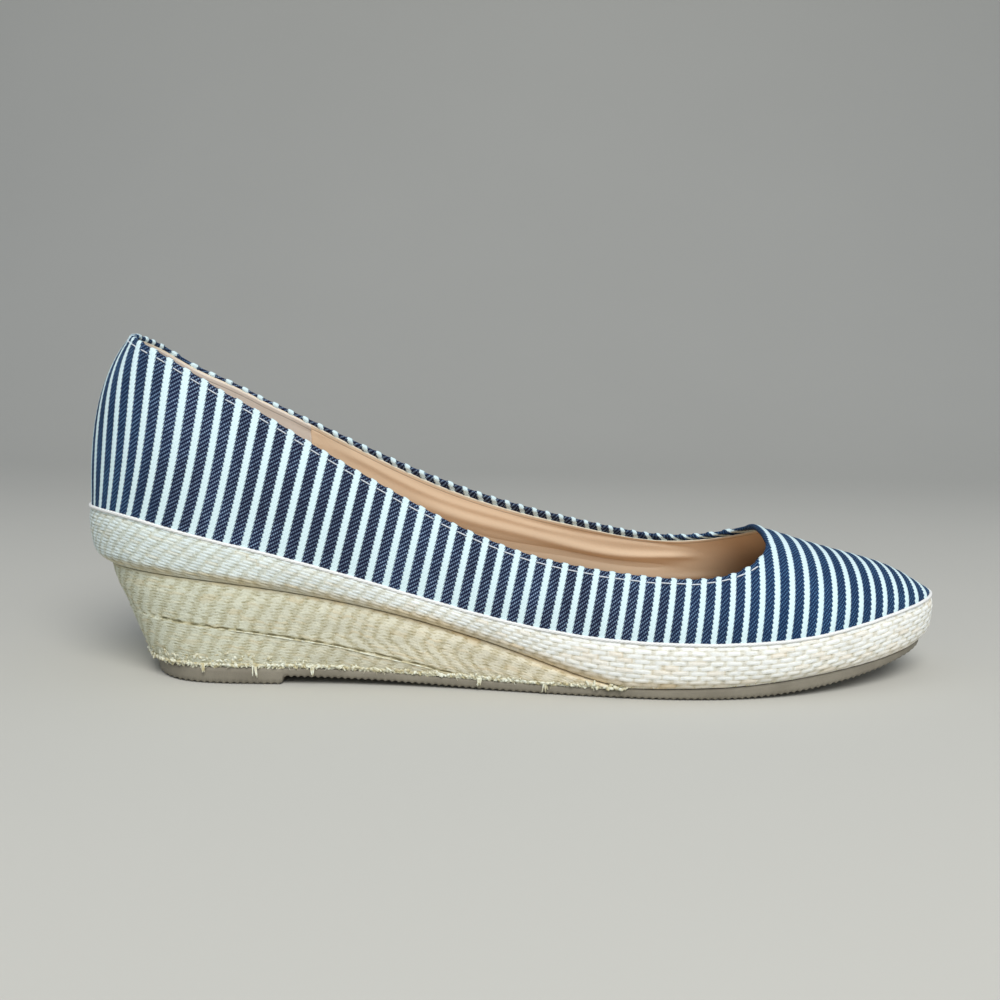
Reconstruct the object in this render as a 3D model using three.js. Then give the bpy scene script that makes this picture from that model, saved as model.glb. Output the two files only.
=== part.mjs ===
// Slip-on wedge espadrille, right shoe, standing empty on its sole.
// Millimetres. +X runs from heel to toe, +Y to the inner (medial) side of the foot, +Z up, floor at z = 0.
// While the shoe is being worked out, x = 0 is the back of the jute platform; the group at the end
// moves it so that the origin is under the middle of the shoe.
import * as THREE from 'three';

// Driving sizes
const LENGTH = 256;          // jute platform, back of heel to tip of toe
const MEAN_HALF_WIDTH = 34;  // half-width by which an outline is drawn in evenly
const GAP = 0.3;             // between two pieces that meet
const HEEL_LUG = 2.1;        // extra rubber under the heel
const WALL = 1.8;            // upper: cloth, stiffener and lining
const UPPER_INSET = 1.0;     // upper inside the widest line of the platform, along the sides
const HEEL_OVERHANG = 0.6;   // and past it at the back of the heel
const SOCK = 1.6;            // insole

// Places along the foot
const LUG_BACK = 20.5;       // back of the rubber heel
const LUG_FRONT = 62;        // front of the thicker rubber
const RISER = 0.4;           // slope of that front edge
const TREAD_START = 135;     // forefoot starts to touch the floor
const TREAD_END = 182;       // and leaves it again
const TOE_SPRING = 10;       // rise of the rubber at the tip
const TOE_SPRING_POWER = 1.9;
const WEDGE_FRONT = 149;     // where the wedge has thinned out
const HEEL_AXIS = 46;        // upright axis that the heel sections turn about
const THROAT_START = 166;    // collar starts to close in front of this
const THROAT_FRONT = 202;    // front edge of the opening
const THROAT_POWER = 3.6;    // above 2: a squarer throat
const SQUEEZE_HEEL = 90;     // a raked or inset heel blends out over this length
const SQUEEZE_TOE = 96;      // and an inset toe over this one

// Plan of the platform at its widest: distance of each edge from the foot axis.
const OUTLINE = [
  { x: 0, lateral: 0, medial: 0 },
  { x: 6, lateral: 17, medial: 16.8 },
  { x: 24, lateral: 28.8, medial: 28 },
  { x: 52, lateral: 31, medial: 30 },
  { x: 88, lateral: 31, medial: 27.6 },
  { x: 128, lateral: 35.6, medial: 29 },
  { x: 168, lateral: 41.3, medial: 36.2 },
  { x: 203, lateral: 37.2, medial: 37 },
  { x: 232, lateral: 24.8, medial: 27.2 },
  { x: 250, lateral: 11, medial: 14.6 },
  { x: 256, lateral: -3, medial: 3 },
];

// Along the side: height of the platform's top, of the seam between platform and wedge, and
// thickness of the rubber sheet.
const PLATFORM = [
  { x: 0, feather: 47.8, seam: 31.6, sheet: 2.8 },
  { x: 15, feather: 47.2, seam: 31.6, sheet: 2.8 },
  { x: 30, feather: 44, seam: 30.5, sheet: 2.8 },
  { x: 60, feather: 36.8, seam: 27, sheet: 2.8 },
  { x: 90, feather: 28.8, seam: 21.6, sheet: 2.8 },
  { x: 110, feather: 23.5, seam: 16.7, sheet: 2.8 },
  { x: 130, feather: 19.2, seam: 10.8, sheet: 2.8 },
  { x: 150, feather: 16.7, seam: 4.6, sheet: 2.8 },
  { x: 175, feather: 15.8, seam: 1, sheet: 3.2 },
  { x: 205, feather: 16.5, seam: 0, sheet: 3.9 },
  { x: 220, feather: 18.2, seam: 0, sheet: 3.7 },
  { x: 235, feather: 20.8, seam: 0, sheet: 2.9 },
  { x: 256, feather: 24, seam: 0, sheet: 2 },
];

// The last above the platform: rise of its crest, where the crest lies across, and the power of its
// sections (2 is an ellipse, more is straighter at the foot and rounder above).
const LAST = [
  { x: 0, rise: 61.5, crest: 0, power: 2.6 },
  { x: 24, rise: 61, crest: 0, power: 2.6 },
  { x: 60, rise: 57, crest: 0, power: 2.4 },
  { x: 85, rise: 50, crest: 0.5, power: 2.2 },
  { x: 110, rise: 43, crest: 1.5, power: 2.1 },
  { x: 140, rise: 38, crest: 3, power: 2 },
  { x: 170, rise: 33.5, crest: 4, power: 2 },
  { x: 203, rise: 26, crest: 4.5, power: 2 },
  { x: 221, rise: 18.9, crest: 4.5, power: 2 },
  { x: 235, rise: 13, crest: 4, power: 2 },
  { x: 245, rise: 8.2, crest: 3.5, power: 2 },
  { x: 252, rise: 3.4, crest: 3.2, power: 2 },
  { x: 256, rise: 0, crest: 3, power: 2 },
];

// Height of the collar edge, by the place of its section at the platform.
const COLLAR = [
  { x: 0, lateral: 98.2, medial: 98.2 },
  { x: 8, lateral: 96.4, medial: 95.4 },
  { x: 20, lateral: 92.8, medial: 89.8 },
  { x: 35, lateral: 86.6, medial: 84 },
  { x: 50, lateral: 79.4, medial: 77.6 },
  { x: 70, lateral: 67.8, medial: 68.6 },
  { x: 90, lateral: 56.4, medial: 59.8 },
  { x: 110, lateral: 46.2, medial: 52.2 },
  { x: 130, lateral: 38.6, medial: 46.1 },
  { x: 150, lateral: 34.7, medial: 41.2 },
  { x: 170, lateral: 32.8, medial: 37 },
  { x: 190, lateral: 32, medial: 35.2 },
  { x: 210, lateral: 31.6, medial: 34 },
];

// Natural cubic spline through (knots, values).
function spline(knots, values) {
  const last = knots.length - 1;
  const bend = new Array(last + 1).fill(0);
  const carry = new Array(last + 1).fill(0);
  for (let i = 1; i < last; i++) {
    const before = knots[i] - knots[i - 1];
    const after = knots[i + 1] - knots[i];
    const change = (values[i + 1] - values[i]) / after - (values[i] - values[i - 1]) / before;
    const pivot = 2 * (before + after) - before * carry[i - 1];
    carry[i] = after / pivot;
    bend[i] = (6 * change - before * bend[i - 1]) / pivot;
  }
  for (let i = last - 1; i > 0; i--) {
    bend[i] -= carry[i] * bend[i + 1];
  }
  return (at) => {
    let i = 0;
    while (i < last - 1 && at > knots[i + 1]) {
      i += 1;
    }
    const step = knots[i + 1] - knots[i];
    const a = (knots[i + 1] - at) / step;
    const b = 1 - a;
    const curve = ((a * a * a - a) * bend[i] + (b * b * b - b) * bend[i + 1]) * step * step / 6;
    return a * values[i] + b * values[i + 1] + curve;
  };
}

// Angle whose cosine marks x along the foot: equal steps of it crowd at both round ends.
const footAngle = (x) => Math.acos(THREE.MathUtils.clamp(1 - 2 * x / LENGTH, -1, 1));
const footPlace = (angle) => LENGTH * (1 - Math.cos(angle)) / 2;

function column(rows, name) {
  return spline(rows.map((row) => row.x), rows.map((row) => row[name]));
}

function roundColumn(rows, name) {
  const curve = spline(rows.map((row) => footAngle(row.x)), rows.map((row) => row[name]));
  return (x) => curve(footAngle(x));
}

const edgeTable = {
  lateral: roundColumn(OUTLINE, 'lateral'),
  medial: roundColumn(OUTLINE, 'medial'),
};
const signOf = { lateral: -1, medial: 1 };
const feather = column(PLATFORM, 'feather');
const wedgeSeam = column(PLATFORM, 'seam');
const sheet = column(PLATFORM, 'sheet');
const rise = roundColumn(LAST, 'rise');
const crest = roundColumn(LAST, 'crest');
const power = roundColumn(LAST, 'power');
const collar = {
  lateral: column(COLLAR, 'lateral'),
  medial: column(COLLAR, 'medial'),
};

// Underside of the rubber sheet: under the heel lug, along the arch, on the floor, up at the toe.
function sheetUnder(x) {
  const arch = 1 - THREE.MathUtils.smoothstep(x, LUG_FRONT, TREAD_START);
  const spring = Math.max(0, (x - TREAD_END) / (LENGTH - TREAD_END));
  return HEEL_LUG * arch + TOE_SPRING * spring ** TOE_SPRING_POWER;
}

function rubberUnder(x) {
  const pastLug = THREE.MathUtils.clamp((x - LUG_FRONT) / RISER, 0, 1);
  return sheetUnder(x) * pastLug;
}

const rubberTop = (x) => sheetUnder(x) + sheet(x);
const platformUnder = (x) => Math.max(wedgeSeam(x), rubberTop(x));

// An outline drawn in by `inset` at the sides, `heel` at the back and `toe` at the tip.
// A raked heel or a shortened toe is blended out along the foot, so the waist stays in place.
function squeezed(x, shape) {
  const back = Math.max(0, 1 - x / SQUEEZE_HEEL);
  const front = Math.max(0, (x - LENGTH + SQUEEZE_TOE) / SQUEEZE_TOE);
  return x + shape.heel * back * back - shape.toe * front * front;
}

function unsqueezed(x, shape) {
  let low = 0;
  let high = LENGTH;
  for (let i = 0; i < 40; i++) {
    const middle = (low + high) / 2;
    if (squeezed(middle, shape) < x) {
      low = middle;
    } else {
      high = middle;
    }
  }
  return (low + high) / 2;
}

function edge(side, x, shape) {
  const halfWidth = edgeTable[side](unsqueezed(x, shape));
  return signOf[side] * halfWidth * (1 - shape.inset / MEAN_HALF_WIDTH);
}


// Places between two ends, crowded at both, with some exact places added.
function places(from, to, count, exact = []) {
  const list = [];
  for (let i = 0; i <= count; i++) {
    list.push(from + (to - from) * (1 - Math.cos(Math.PI * i / count)) / 2);
  }
  const clear = list.filter((x) => exact.every((fixed) => Math.abs(x - fixed) > 0.8));
  return clear.concat(exact).sort((a, b) => a - b);
}

// One closed ring: heel to toe along the lateral edge, back along the medial edge.
// A blunt front keeps both of its corners; a round one shares the point at the tip.
function ringOf(count, blunt, point) {
  const ring = [];
  for (let i = 0; i < count; i++) {
    ring.push(point(i, 'lateral'));
  }
  for (let i = blunt ? count - 1 : count - 2; i > 0; i--) {
    ring.push(point(i, 'medial'));
  }
  return ring;
}

// Level ring of a shape at places given as fractions of its own length.
function levelRing(fractions, blunt, shape, height) {
  const from = shape.heel;
  const to = shape.front ?? LENGTH - shape.toe;
  return ringOf(fractions.length, blunt, (i, side) => {
    const x = from + (to - from) * fractions[i];
    return [x, edge(side, x, shape), height(x)];
  });
}

// Quads between each ring and the next; `wrapped` also joins the last ring to the first.
function sideFaces(ringCount, size, wrapped) {
  const faces = [];
  const spans = wrapped ? ringCount : ringCount - 1;
  for (let r = 0; r < spans; r++) {
    const low = r * size;
    const high = ((r + 1) % ringCount) * size;
    for (let i = 0; i < size; i++) {
      const next = (i + 1) % size;
      faces.push(low + i, low + next, high + next);
      faces.push(low + i, high + next, high + i);
    }
  }
  return faces;
}

// Cap across a ring, from each lateral point to the medial point opposite.
function capFaces(start, size, count, up) {
  const faces = [];
  const opposite = (i) => start + (size - i) % size;
  const addFace = (a, b, c) => {
    if (a !== b && b !== c && a !== c) {
      faces.push(...(up ? [a, b, c] : [a, c, b]));
    }
  };
  for (let i = 0; i < count - 1; i++) {
    addFace(start + i, start + i + 1, opposite(i + 1));
    addFace(start + i, opposite(i + 1), opposite(i));
  }
  return faces;
}

function geometryOf(rings, faces) {
  const geometry = new THREE.BufferGeometry();
  geometry.setAttribute('position', new THREE.Float32BufferAttribute(rings.flat(2), 3));
  geometry.setIndex(faces);
  geometry.computeVertexNormals();
  return geometry;
}

// Solid from rings stacked upwards, closed below and above.
function stack(rings, count) {
  const size = rings[0].length;
  const faces = sideFaces(rings.length, size, false);
  faces.push(...capFaces(0, size, count, false));
  faces.push(...capFaces((rings.length - 1) * size, size, count, true));
  return geometryOf(rings, faces);
}

function outsole() {
  const rim = { inset: 2.2, heel: LUG_BACK, toe: 3.6 };
  const foot = { inset: 2.9, heel: LUG_BACK + 0.7, toe: 4.6 };
  const span = LENGTH - rim.toe - rim.heel;
  const exact = [LUG_FRONT, LUG_FRONT + RISER, TREAD_START, TREAD_END];
  const list = places(rim.heel, LENGTH - rim.toe, 56, exact);
  const fractions = list.map((x) => (x - rim.heel) / span);
  const bevel = 0.7;
  const footRing = ringOf(list.length, false, (i, side) => {
    const footSpan = LENGTH - foot.toe - foot.heel;
    const atEnd = list[i] < LUG_BACK + 8 || list[i] > LENGTH - 12;
    const x = atEnd ? foot.heel + footSpan * fractions[i] : list[i];
    return [x, edge(side, x, foot), rubberUnder(x)];
  });
  const rings = [
    footRing,
    levelRing(fractions, false, rim, (x) => rubberUnder(x) + bevel),
    levelRing(fractions, false, rim, (x) => rubberTop(x) - GAP / 2),
  ];
  return stack(rings, list.length);
}

// The wedge leans forward at the back and bulges a little between its two seams.
function wedge() {
  const levels = [
    { up: 0, inset: 2.6, rake: 18.6 },
    { up: 0.12, inset: 1.9, rake: 16.2 },
    { up: 0.5, inset: 1.5, rake: 11.2 },
    { up: 0.85, inset: 1.7, rake: 6.9 },
    { up: 1, inset: 2.6, rake: 5.9 },
  ];
  const fractions = places(0, 1, 36);
  const rings = levels.map(({ up, inset, rake }) => {
    const shape = { inset, heel: rake, toe: 0, front: WEDGE_FRONT };
    return levelRing(fractions, true, shape, (x) => {
      const bottom = rubberTop(x) + GAP / 2;
      const top = wedgeSeam(x) - GAP / 2;
      return bottom + (top - bottom) * up;
    });
  });
  return stack(rings, fractions.length);
}

// Jute-wrapped platform: a rounded side between the seam below and the upper above.
function midsole() {
  const levels = [
    { up: 0, inset: 2.3, rake: 5.6 },
    { up: 0.1, inset: 1.2, rake: 3 },
    { up: 0.3, inset: 0.3, rake: 0.9 },
    { up: 0.6, inset: 0, rake: 0.1 },
    { up: 0.88, inset: 0.3, rake: 0.1 },
    { up: 1, inset: 0.9, rake: 0.5 },
  ];
  const fractions = places(0, 1, 60);
  const rings = levels.map(({ up, inset, rake }) => {
    const shape = { inset, heel: rake, toe: 1.3 * inset };
    return levelRing(fractions, false, shape, (x) => {
      const bottom = platformUnder(x) + GAP / 2;
      return bottom + (feather(x) - bottom) * up;
    });
  });
  return stack(rings, fractions.length);
}

// The sock stops short of the toe, where the upper comes down to the platform.
function insole() {
  const inset = UPPER_INSET + WALL + 0.7;
  const outline = { inset, heel: inset, toe: 12 };
  const top = { inset: inset + 0.6, heel: inset + 0.6, toe: 12.6 };
  const fractions = places(0, 1, 52);
  const rings = [
    levelRing(fractions, false, outline, (x) => feather(x) + GAP),
    levelRing(fractions, false, outline, (x) => feather(x) + GAP + SOCK * 0.6),
    levelRing(fractions, false, top, (x) => feather(x) + GAP + SOCK),
  ];
  return stack(rings, fractions.length);
}

// Outline of a skin lying `depth` inside the outer face of the upper.
function upperShape(depth) {
  return { inset: UPPER_INSET + depth, heel: depth - HEEL_OVERHANG, toe: UPPER_INSET + depth };
}

// Centre, half-width, rise and section power of that skin at x.
function lastAt(side, x, depth) {
  const shape = upperShape(depth);
  const along = unsqueezed(x, shape);
  const fullRise = rise(along);
  return {
    centre: crest(along),
    half: Math.abs(edge(side, x, shape) - crest(along)),
    rise: fullRise * fullRise / (fullRise + depth),
    power: power(along),
  };
}

// Each section is a superellipse: one fraction of it (up or across) gives the other.
const otherFraction = (fraction, n) => (1 - Math.min(1, fraction) ** n) ** (1 / n);

// Height of the collar as a fraction of the crest's.
function collarFraction(side, x) {
  return THREE.MathUtils.clamp((collar[side](x) - feather(x)) / rise(x), 0, 1);
}

// Heel and quarter: sections turn about the heel axis, then stand square to the foot.
function quarterPoint(side, x, up, depth) {
  const here = lastAt(side, x, depth);
  const high = Math.sin(Math.asin(collarFraction(side, x)) * up);
  const wide = otherFraction(high, here.power);
  const turned = x + Math.max(0, HEEL_AXIS - x) * (1 - wide);
  return [turned, here.centre + signOf[side] * here.half * wide, feather(x) + GAP + here.rise * high];
}

// Vamp: straight lines in plan from the toe outline to the throat, lifted onto the last.
function vampPoint(side, part, up, depth) {
  const sign = signOf[side];
  const shape = upperShape(depth);
  const tip = LENGTH - shape.toe;
  const startAngle = footAngle(THROAT_START);
  const footX = footPlace(startAngle + (Math.PI - startAngle) * part) * tip / LENGTH
    + THROAT_START * (1 - tip / LENGTH) * (1 - part);
  const closing = 1 - (1 - part) ** 3;
  const throatX = THROAT_START + (THROAT_FRONT - THROAT_START) * closing;
  const throat = lastAt(side, throatX, depth);
  const collarWide = otherFraction(collarFraction(side, throatX), throat.power);
  const wide = collarWide * otherFraction(closing, THROAT_POWER);
  const throatY = throat.centre + sign * throat.half * wide;
  const footY = edge(side, footX, shape);
  const high = Math.sin(Math.asin(otherFraction(wide, throat.power)) * up);
  const reach = (1 - otherFraction(high, throat.power)) / (1 - wide);
  const x = footX + (throatX - footX) * reach;
  const y = footY + (throatY - footY) * reach;
  const here = lastAt(side, x, depth);
  const offset = here.half > 0 ? Math.abs(y - here.centre) / here.half : 1;
  return [x, y, feather(x) + GAP + here.rise * otherFraction(offset, here.power)];
}

function upper() {
  const levelCount = 9;
  const quarter = places(0, 1, 52).map((part) => part * LENGTH).filter((x) => x < THROAT_START - 2);
  const vampCount = 22;
  const total = quarter.length + vampCount + 1;
  const skinRing = (up, depth) => ringOf(total, false, (i, side) => {
    if (i < quarter.length) {
      const back = upperShape(depth).heel;
      return quarterPoint(side, back + quarter[i] * (1 - back / THROAT_START), up, depth);
    }
    return vampPoint(side, (i - quarter.length) / vampCount, up, depth);
  });
  const outer = [];
  const inner = [];
  for (let level = 0; level <= levelCount; level++) {
    const up = level / levelCount;
    outer.push(skinRing(up, 0));
    inner.unshift(skinRing(up, WALL));
  }
  const rings = outer.concat(inner);
  return geometryOf(rings, sideFaces(rings.length, rings[0].length, true));
}

function piece(name, geometry, color, roughness) {
  const material = new THREE.MeshStandardMaterial({ color, roughness, metalness: 0 });
  const mesh = new THREE.Mesh(geometry, material);
  mesh.name = name;
  return mesh;
}

const espadrille = new THREE.Group();
espadrille.add(
  piece('outsole', outsole(), 0x8c8276, 0.85),
  piece('wedge', wedge(), 0xcfc2a4, 0.95),
  piece('midsole', midsole(), 0xd8cdb2, 0.95),
  piece('insole', insole(), 0xc79a6b, 0.8),
  piece('upper', upper(), 0x252b45, 0.9),
);
const bounds = new THREE.Box3().setFromObject(espadrille);
const middle = bounds.getCenter(new THREE.Vector3());
espadrille.position.set(-middle.x, -middle.y, 0);

export default espadrille;
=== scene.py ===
"""Looks for a slip-on wedge espadrille, built round its packed CAD frame.

Shapes are worked out in millimetres with x = 0 at the back of the jute platform, y = 0 on the
foot axis and z = 0 on the floor, and are moved into the frame, in metres, as they become meshes.
"""

import math

import bpy
import numpy as np
from bpy.props import FloatProperty, FloatVectorProperty, PointerProperty
from mathutils import Matrix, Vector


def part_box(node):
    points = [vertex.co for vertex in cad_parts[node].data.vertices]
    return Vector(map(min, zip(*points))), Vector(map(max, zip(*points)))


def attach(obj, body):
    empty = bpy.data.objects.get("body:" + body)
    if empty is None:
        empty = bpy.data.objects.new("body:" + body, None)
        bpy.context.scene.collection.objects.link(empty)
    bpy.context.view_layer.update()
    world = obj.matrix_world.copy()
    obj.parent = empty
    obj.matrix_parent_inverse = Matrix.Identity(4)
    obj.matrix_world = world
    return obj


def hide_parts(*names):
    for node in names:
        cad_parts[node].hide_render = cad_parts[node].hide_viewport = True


bl_info = {
    "name": "Wedge espadrille",
    "version": (1, 0, 0),
    "blender": (4, 5, 0),
    "location": "View3D > Sidebar > Espadrille",
    "description": "Builds the looks of a striped slip-on wedge espadrille round its CAD frame",
    "category": "Object",
}

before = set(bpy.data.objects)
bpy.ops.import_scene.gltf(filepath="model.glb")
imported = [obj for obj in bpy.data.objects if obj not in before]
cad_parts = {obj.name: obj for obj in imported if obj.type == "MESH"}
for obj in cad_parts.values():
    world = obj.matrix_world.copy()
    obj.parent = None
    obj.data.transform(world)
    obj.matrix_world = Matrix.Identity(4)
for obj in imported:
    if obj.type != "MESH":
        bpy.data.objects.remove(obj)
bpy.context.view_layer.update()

MM = 0.001
LATERAL = -1.0
MEDIAL = 1.0
TAU = 2 * math.pi

# Driving sizes, in millimetres
LENGTH = 256.0
MEAN_HALF_WIDTH = 34.0
GAP = 0.3
HEEL_LUG = 2.1
WALL = 1.8
UPPER_INSET = 1.0
HEEL_OVERHANG = -0.6
SOCK = 1.6
LUG_BACK = 20.5
LUG_FRONT = 62.0
RISER = 0.4
TREAD_START = 135.0
TREAD_END = 182.0
TOE_SPRING = 10.0
TOE_SPRING_POWER = 1.9
HEEL_AXIS = 46.0
THROAT_START = 166.0
THROAT_FRONT = 202.0
THROAT_POWER = 3.6
SQUEEZE_HEEL = 90.0
SQUEEZE_TOE = 96.0

# Plan of the platform: x, lateral half-width, medial half-width
OUTLINE = (
    (0, 0, 0), (6, 17, 16.8), (24, 28.8, 28), (52, 31, 30), (88, 31, 27.6), (128, 35.6, 29),
    (168, 41.3, 36.2), (203, 37.2, 37), (232, 24.8, 27.2), (250, 11, 14.6), (256, -3, 3),
)
# Along the side: x, top of the platform, seam over the wedge, thickness of the rubber sheet
PLATFORM = (
    (0, 47.8, 31.6, 2.8), (15, 47.2, 31.6, 2.8), (30, 44, 30.5, 2.8), (60, 36.8, 27, 2.8),
    (90, 28.8, 21.6, 2.8), (110, 23.5, 16.7, 2.8), (130, 19.2, 10.8, 2.8), (150, 16.7, 4.6, 2.8),
    (175, 15.8, 1, 3.2), (205, 16.5, 0, 3.9), (220, 18.2, 0, 3.7), (235, 20.8, 0, 2.9),
    (256, 24, 0, 2),
)
# The last: x, rise of its crest, where the crest lies across, power of its sections
LAST = (
    (0, 61.5, 0, 2.6), (24, 61, 0, 2.6), (60, 57, 0, 2.4), (85, 50, 0.5, 2.2),
    (110, 43, 1.5, 2.1), (140, 38, 3, 2), (170, 33.5, 4, 2), (203, 26, 4.5, 2),
    (221, 18.9, 4.5, 2), (235, 13, 4, 2), (245, 8.2, 3.5, 2), (252, 3.4, 3.2, 2), (256, 0, 3, 2),
)
# Collar edge: x of its section at the platform, lateral height, medial height
COLLAR = (
    (0, 98.2, 98.2), (8, 96.4, 95.4), (20, 92.8, 89.8), (35, 86.6, 84), (50, 79.4, 77.6),
    (70, 67.8, 68.6), (90, 56.4, 59.8), (110, 46.2, 52.2), (130, 38.6, 46.1), (150, 34.7, 41.2),
    (170, 32.8, 37), (190, 32, 35.2), (210, 31.6, 34),
)
# Side of the platform and of the wedge: share of the height, inset, rake of the heel
BAND_SIDE = (
    (0, 2.3, 5.6), (0.1, 1.2, 3), (0.3, 0.3, 0.9), (0.6, 0, 0.1), (0.88, 0.3, 0.1), (1, 0.9, 0.5),
)
WEDGE_SIDE = ((0, 2.6, 19), (0.12, 1.9, 17), (0.5, 1.5, 12.2), (0.85, 1.7, 7.5), (1, 2.6, 6.2))
BAND_TOE_SHARE = 1.3
# Cloth stripes: x where one meets the platform, and its number from the back of the heel. Navy
# stripes stand at whole numbers and pale ones halfway between.
STRIPES = (
    (0, 0), (13.3, 6), (21, 8), (30.3, 10), (49.6, 14), (69.4, 18), (88.8, 22), (108, 26),
    (126.4, 30), (144.2, 34), (161.6, 38), (178.7, 42), (195.6, 46), (213.1, 50), (230.7, 54),
    (247.8, 58), (256, 60),
)
# Lean of the stripes towards the toe: x at the platform, lean per mm of height, and bend per mm of
# height squared
LEAN = (
    (0, 0, -0.0022), (8, 0.17, -0.0055), (13, 0.24, -0.0064), (20, 0.285, -0.0059),
    (31, 0.32, -0.005), (43, 0.305, -0.0032), (60, 0.26, -0.0014), (80, 0.24, -0.0007),
    (100, 0.21, 0), (130, 0.18, 0.0009), (160, 0.15, 0.0014), (180, 0.12, 0.0016),
    (200, 0.12, 0.003), (212, 0.15, 0.0048), (224, 0.17, 0.0065), (236, 0.13, 0.012),
    (256, 0.05, 0.02),
)


# ---------------------------------------------------------------- curves and the shoe's outlines


def spline(knots, values):
    """Natural cubic spline: cubics that join with equal slope and bend, with no bend at the ends."""
    knots = np.asarray(knots, float)
    values = np.asarray(values, float)
    step = np.diff(knots)
    last = len(knots) - 1
    inner = np.arange(1, last)
    system = np.eye(last + 1)
    system[inner, inner - 1] = step[:-1]
    system[inner, inner] = 2 * (step[:-1] + step[1:])
    system[inner, inner + 1] = step[1:]
    change = np.zeros(last + 1)
    change[1:-1] = 6 * np.diff(np.diff(values) / step)
    bend = np.linalg.solve(system, change)

    def curve(at):
        at = np.asarray(at, float)
        i = np.clip(np.searchsorted(knots, at) - 1, 0, last - 1)
        span = step[i]
        a = (knots[i + 1] - at) / span
        b = 1 - a
        cubic = (a**3 - a) * bend[i] + (b**3 - b) * bend[i + 1]
        return a * values[i] + b * values[i + 1] + cubic * span * span / 6

    return curve


def foot_angle(x):
    """Angle whose cosine marks x along the foot, 0 at the heel and half a turn at the toe."""
    return np.arccos(np.clip(1 - 2 * np.asarray(x, float) / LENGTH, -1, 1))


def foot_place(angle):
    """Place along the foot of such an angle."""
    return LENGTH * (1 - np.cos(angle)) / 2


def column(rows, index):
    """Spline of one column of a table over its first."""
    table = np.array(rows, float)
    return spline(table[:, 0], table[:, index])


def round_column(rows, index):
    """Spline in the foot angle, so that it can stand square to the axis at both round ends."""
    table = np.array(rows, float)
    curve = spline(foot_angle(table[:, 0]), table[:, index])
    return lambda x: curve(foot_angle(x))


lateral_edge = round_column(OUTLINE, 1)
medial_edge = round_column(OUTLINE, 2)
feather = column(PLATFORM, 1)
wedge_seam = column(PLATFORM, 2)
sheet_thickness = column(PLATFORM, 3)
last_rise = round_column(LAST, 1)
last_crest = round_column(LAST, 2)
last_power = round_column(LAST, 3)
lateral_collar = column(COLLAR, 1)
medial_collar = column(COLLAR, 2)
band_inset = column(BAND_SIDE, 1)
band_rake = column(BAND_SIDE, 2)
wedge_inset = column(WEDGE_SIDE, 1)
wedge_rake = column(WEDGE_SIDE, 2)
stripe_count = round_column(STRIPES, 1)
stripe_lean = column(LEAN, 1)
stripe_bend = column(LEAN, 2)


def smoothstep(x, low, high):
    """0 up to `low` and 1 from `high`, with 3 t squared less 2 t cubed between."""
    t = np.clip((x - low) / (high - low), 0, 1)
    return t * t * (3 - 2 * t)


def bump(x, centre, width):
    """Bell curve of height 1."""
    return np.exp(-(((x - centre) / width) ** 2))


def wobble(x, seed, pitch):
    """Smooth wandering between about -1 and 1: three sines of unrelated lengths near `pitch`."""
    shift = np.array([1.7, 4.1, 0.6]) * (seed + 1)
    return (
        np.sin(x * TAU / pitch + shift[0])
        + np.sin(x * TAU / (pitch * 1.618) + shift[1])
        + np.sin(x * TAU / (pitch * 0.577) + shift[2])
    ) / 3


def scatter(a, b=0.0, seed=0.0):
    """Repeatable number from 0 to 1 for each pair of whole numbers: fraction of a large sine."""
    wave = np.sin(a * 127.1 + b * 311.7 + seed * 74.7) * 43758.5453
    return wave - np.floor(wave)


def sheet_under(x):
    """Underside of the rubber sheet: lifted by the lug up to the tread, and by a power at the toe."""
    arch = 1 - smoothstep(x, LUG_FRONT, TREAD_START)
    spring = np.maximum(0, (x - TREAD_END) / (LENGTH - TREAD_END))
    return HEEL_LUG * arch + TOE_SPRING * spring**TOE_SPRING_POWER


def rubber_under(x):
    """Underside of the rubber with its heel lug, which ends in a step."""
    return sheet_under(x) * np.clip((x - LUG_FRONT) / RISER, 0, 1)


def rubber_top(x):
    return sheet_under(x) + sheet_thickness(x)


def platform_under(x):
    return np.maximum(wedge_seam(x), rubber_top(x))


def squeezed(x, heel, toe):
    """Place x moved in by `heel` at the back and `toe` at the tip, fading as a square to the waist."""
    back = np.maximum(0, 1 - x / SQUEEZE_HEEL)
    front = np.maximum(0, (x - LENGTH + SQUEEZE_TOE) / SQUEEZE_TOE)
    return x + heel * back * back - toe * front * front


def unsqueezed(x, heel, toe):
    """Place on the full outline of a place x on the drawn-in one, by halving."""
    x, heel, toe = np.broadcast_arrays(*(np.asarray(v, float) for v in (x, heel, toe)))
    low = np.zeros(x.shape)
    high = np.full(x.shape, LENGTH)
    for _ in range(30):
        middle = (low + high) / 2
        short = squeezed(middle, heel, toe) < x
        low = np.where(short, middle, low)
        high = np.where(short, high, middle)
    return (low + high) / 2


def edge(sign, x, inset=0.0, heel=0.0, toe=0.0):
    """y of the outline drawn in by `inset` at the sides, `heel` at the back and `toe` at the tip."""
    along = unsqueezed(x, heel, toe)
    half = np.where(sign < 0, lateral_edge(along), medial_edge(along))
    return sign * half * (1 - inset / MEAN_HALF_WIDTH)


def other_fraction(fraction, power):
    """Superellipse of half-axes 1: one fraction of it gives the other."""
    return (1 - np.clip(fraction, 0, 1) ** power) ** (1 / power)


def last_at(sign, x, depth):
    """Centre, half-width, rise and section power at x of the skin `depth` inside the upper."""
    inset = UPPER_INSET + depth
    heel = depth - HEEL_OVERHANG
    along = unsqueezed(x, heel, inset)
    full = last_rise(along)
    half = np.abs(edge(sign, x, inset, heel, inset) - last_crest(along))
    return last_crest(along), half, full * full / (full + depth + 1e-9), last_power(along)


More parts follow.
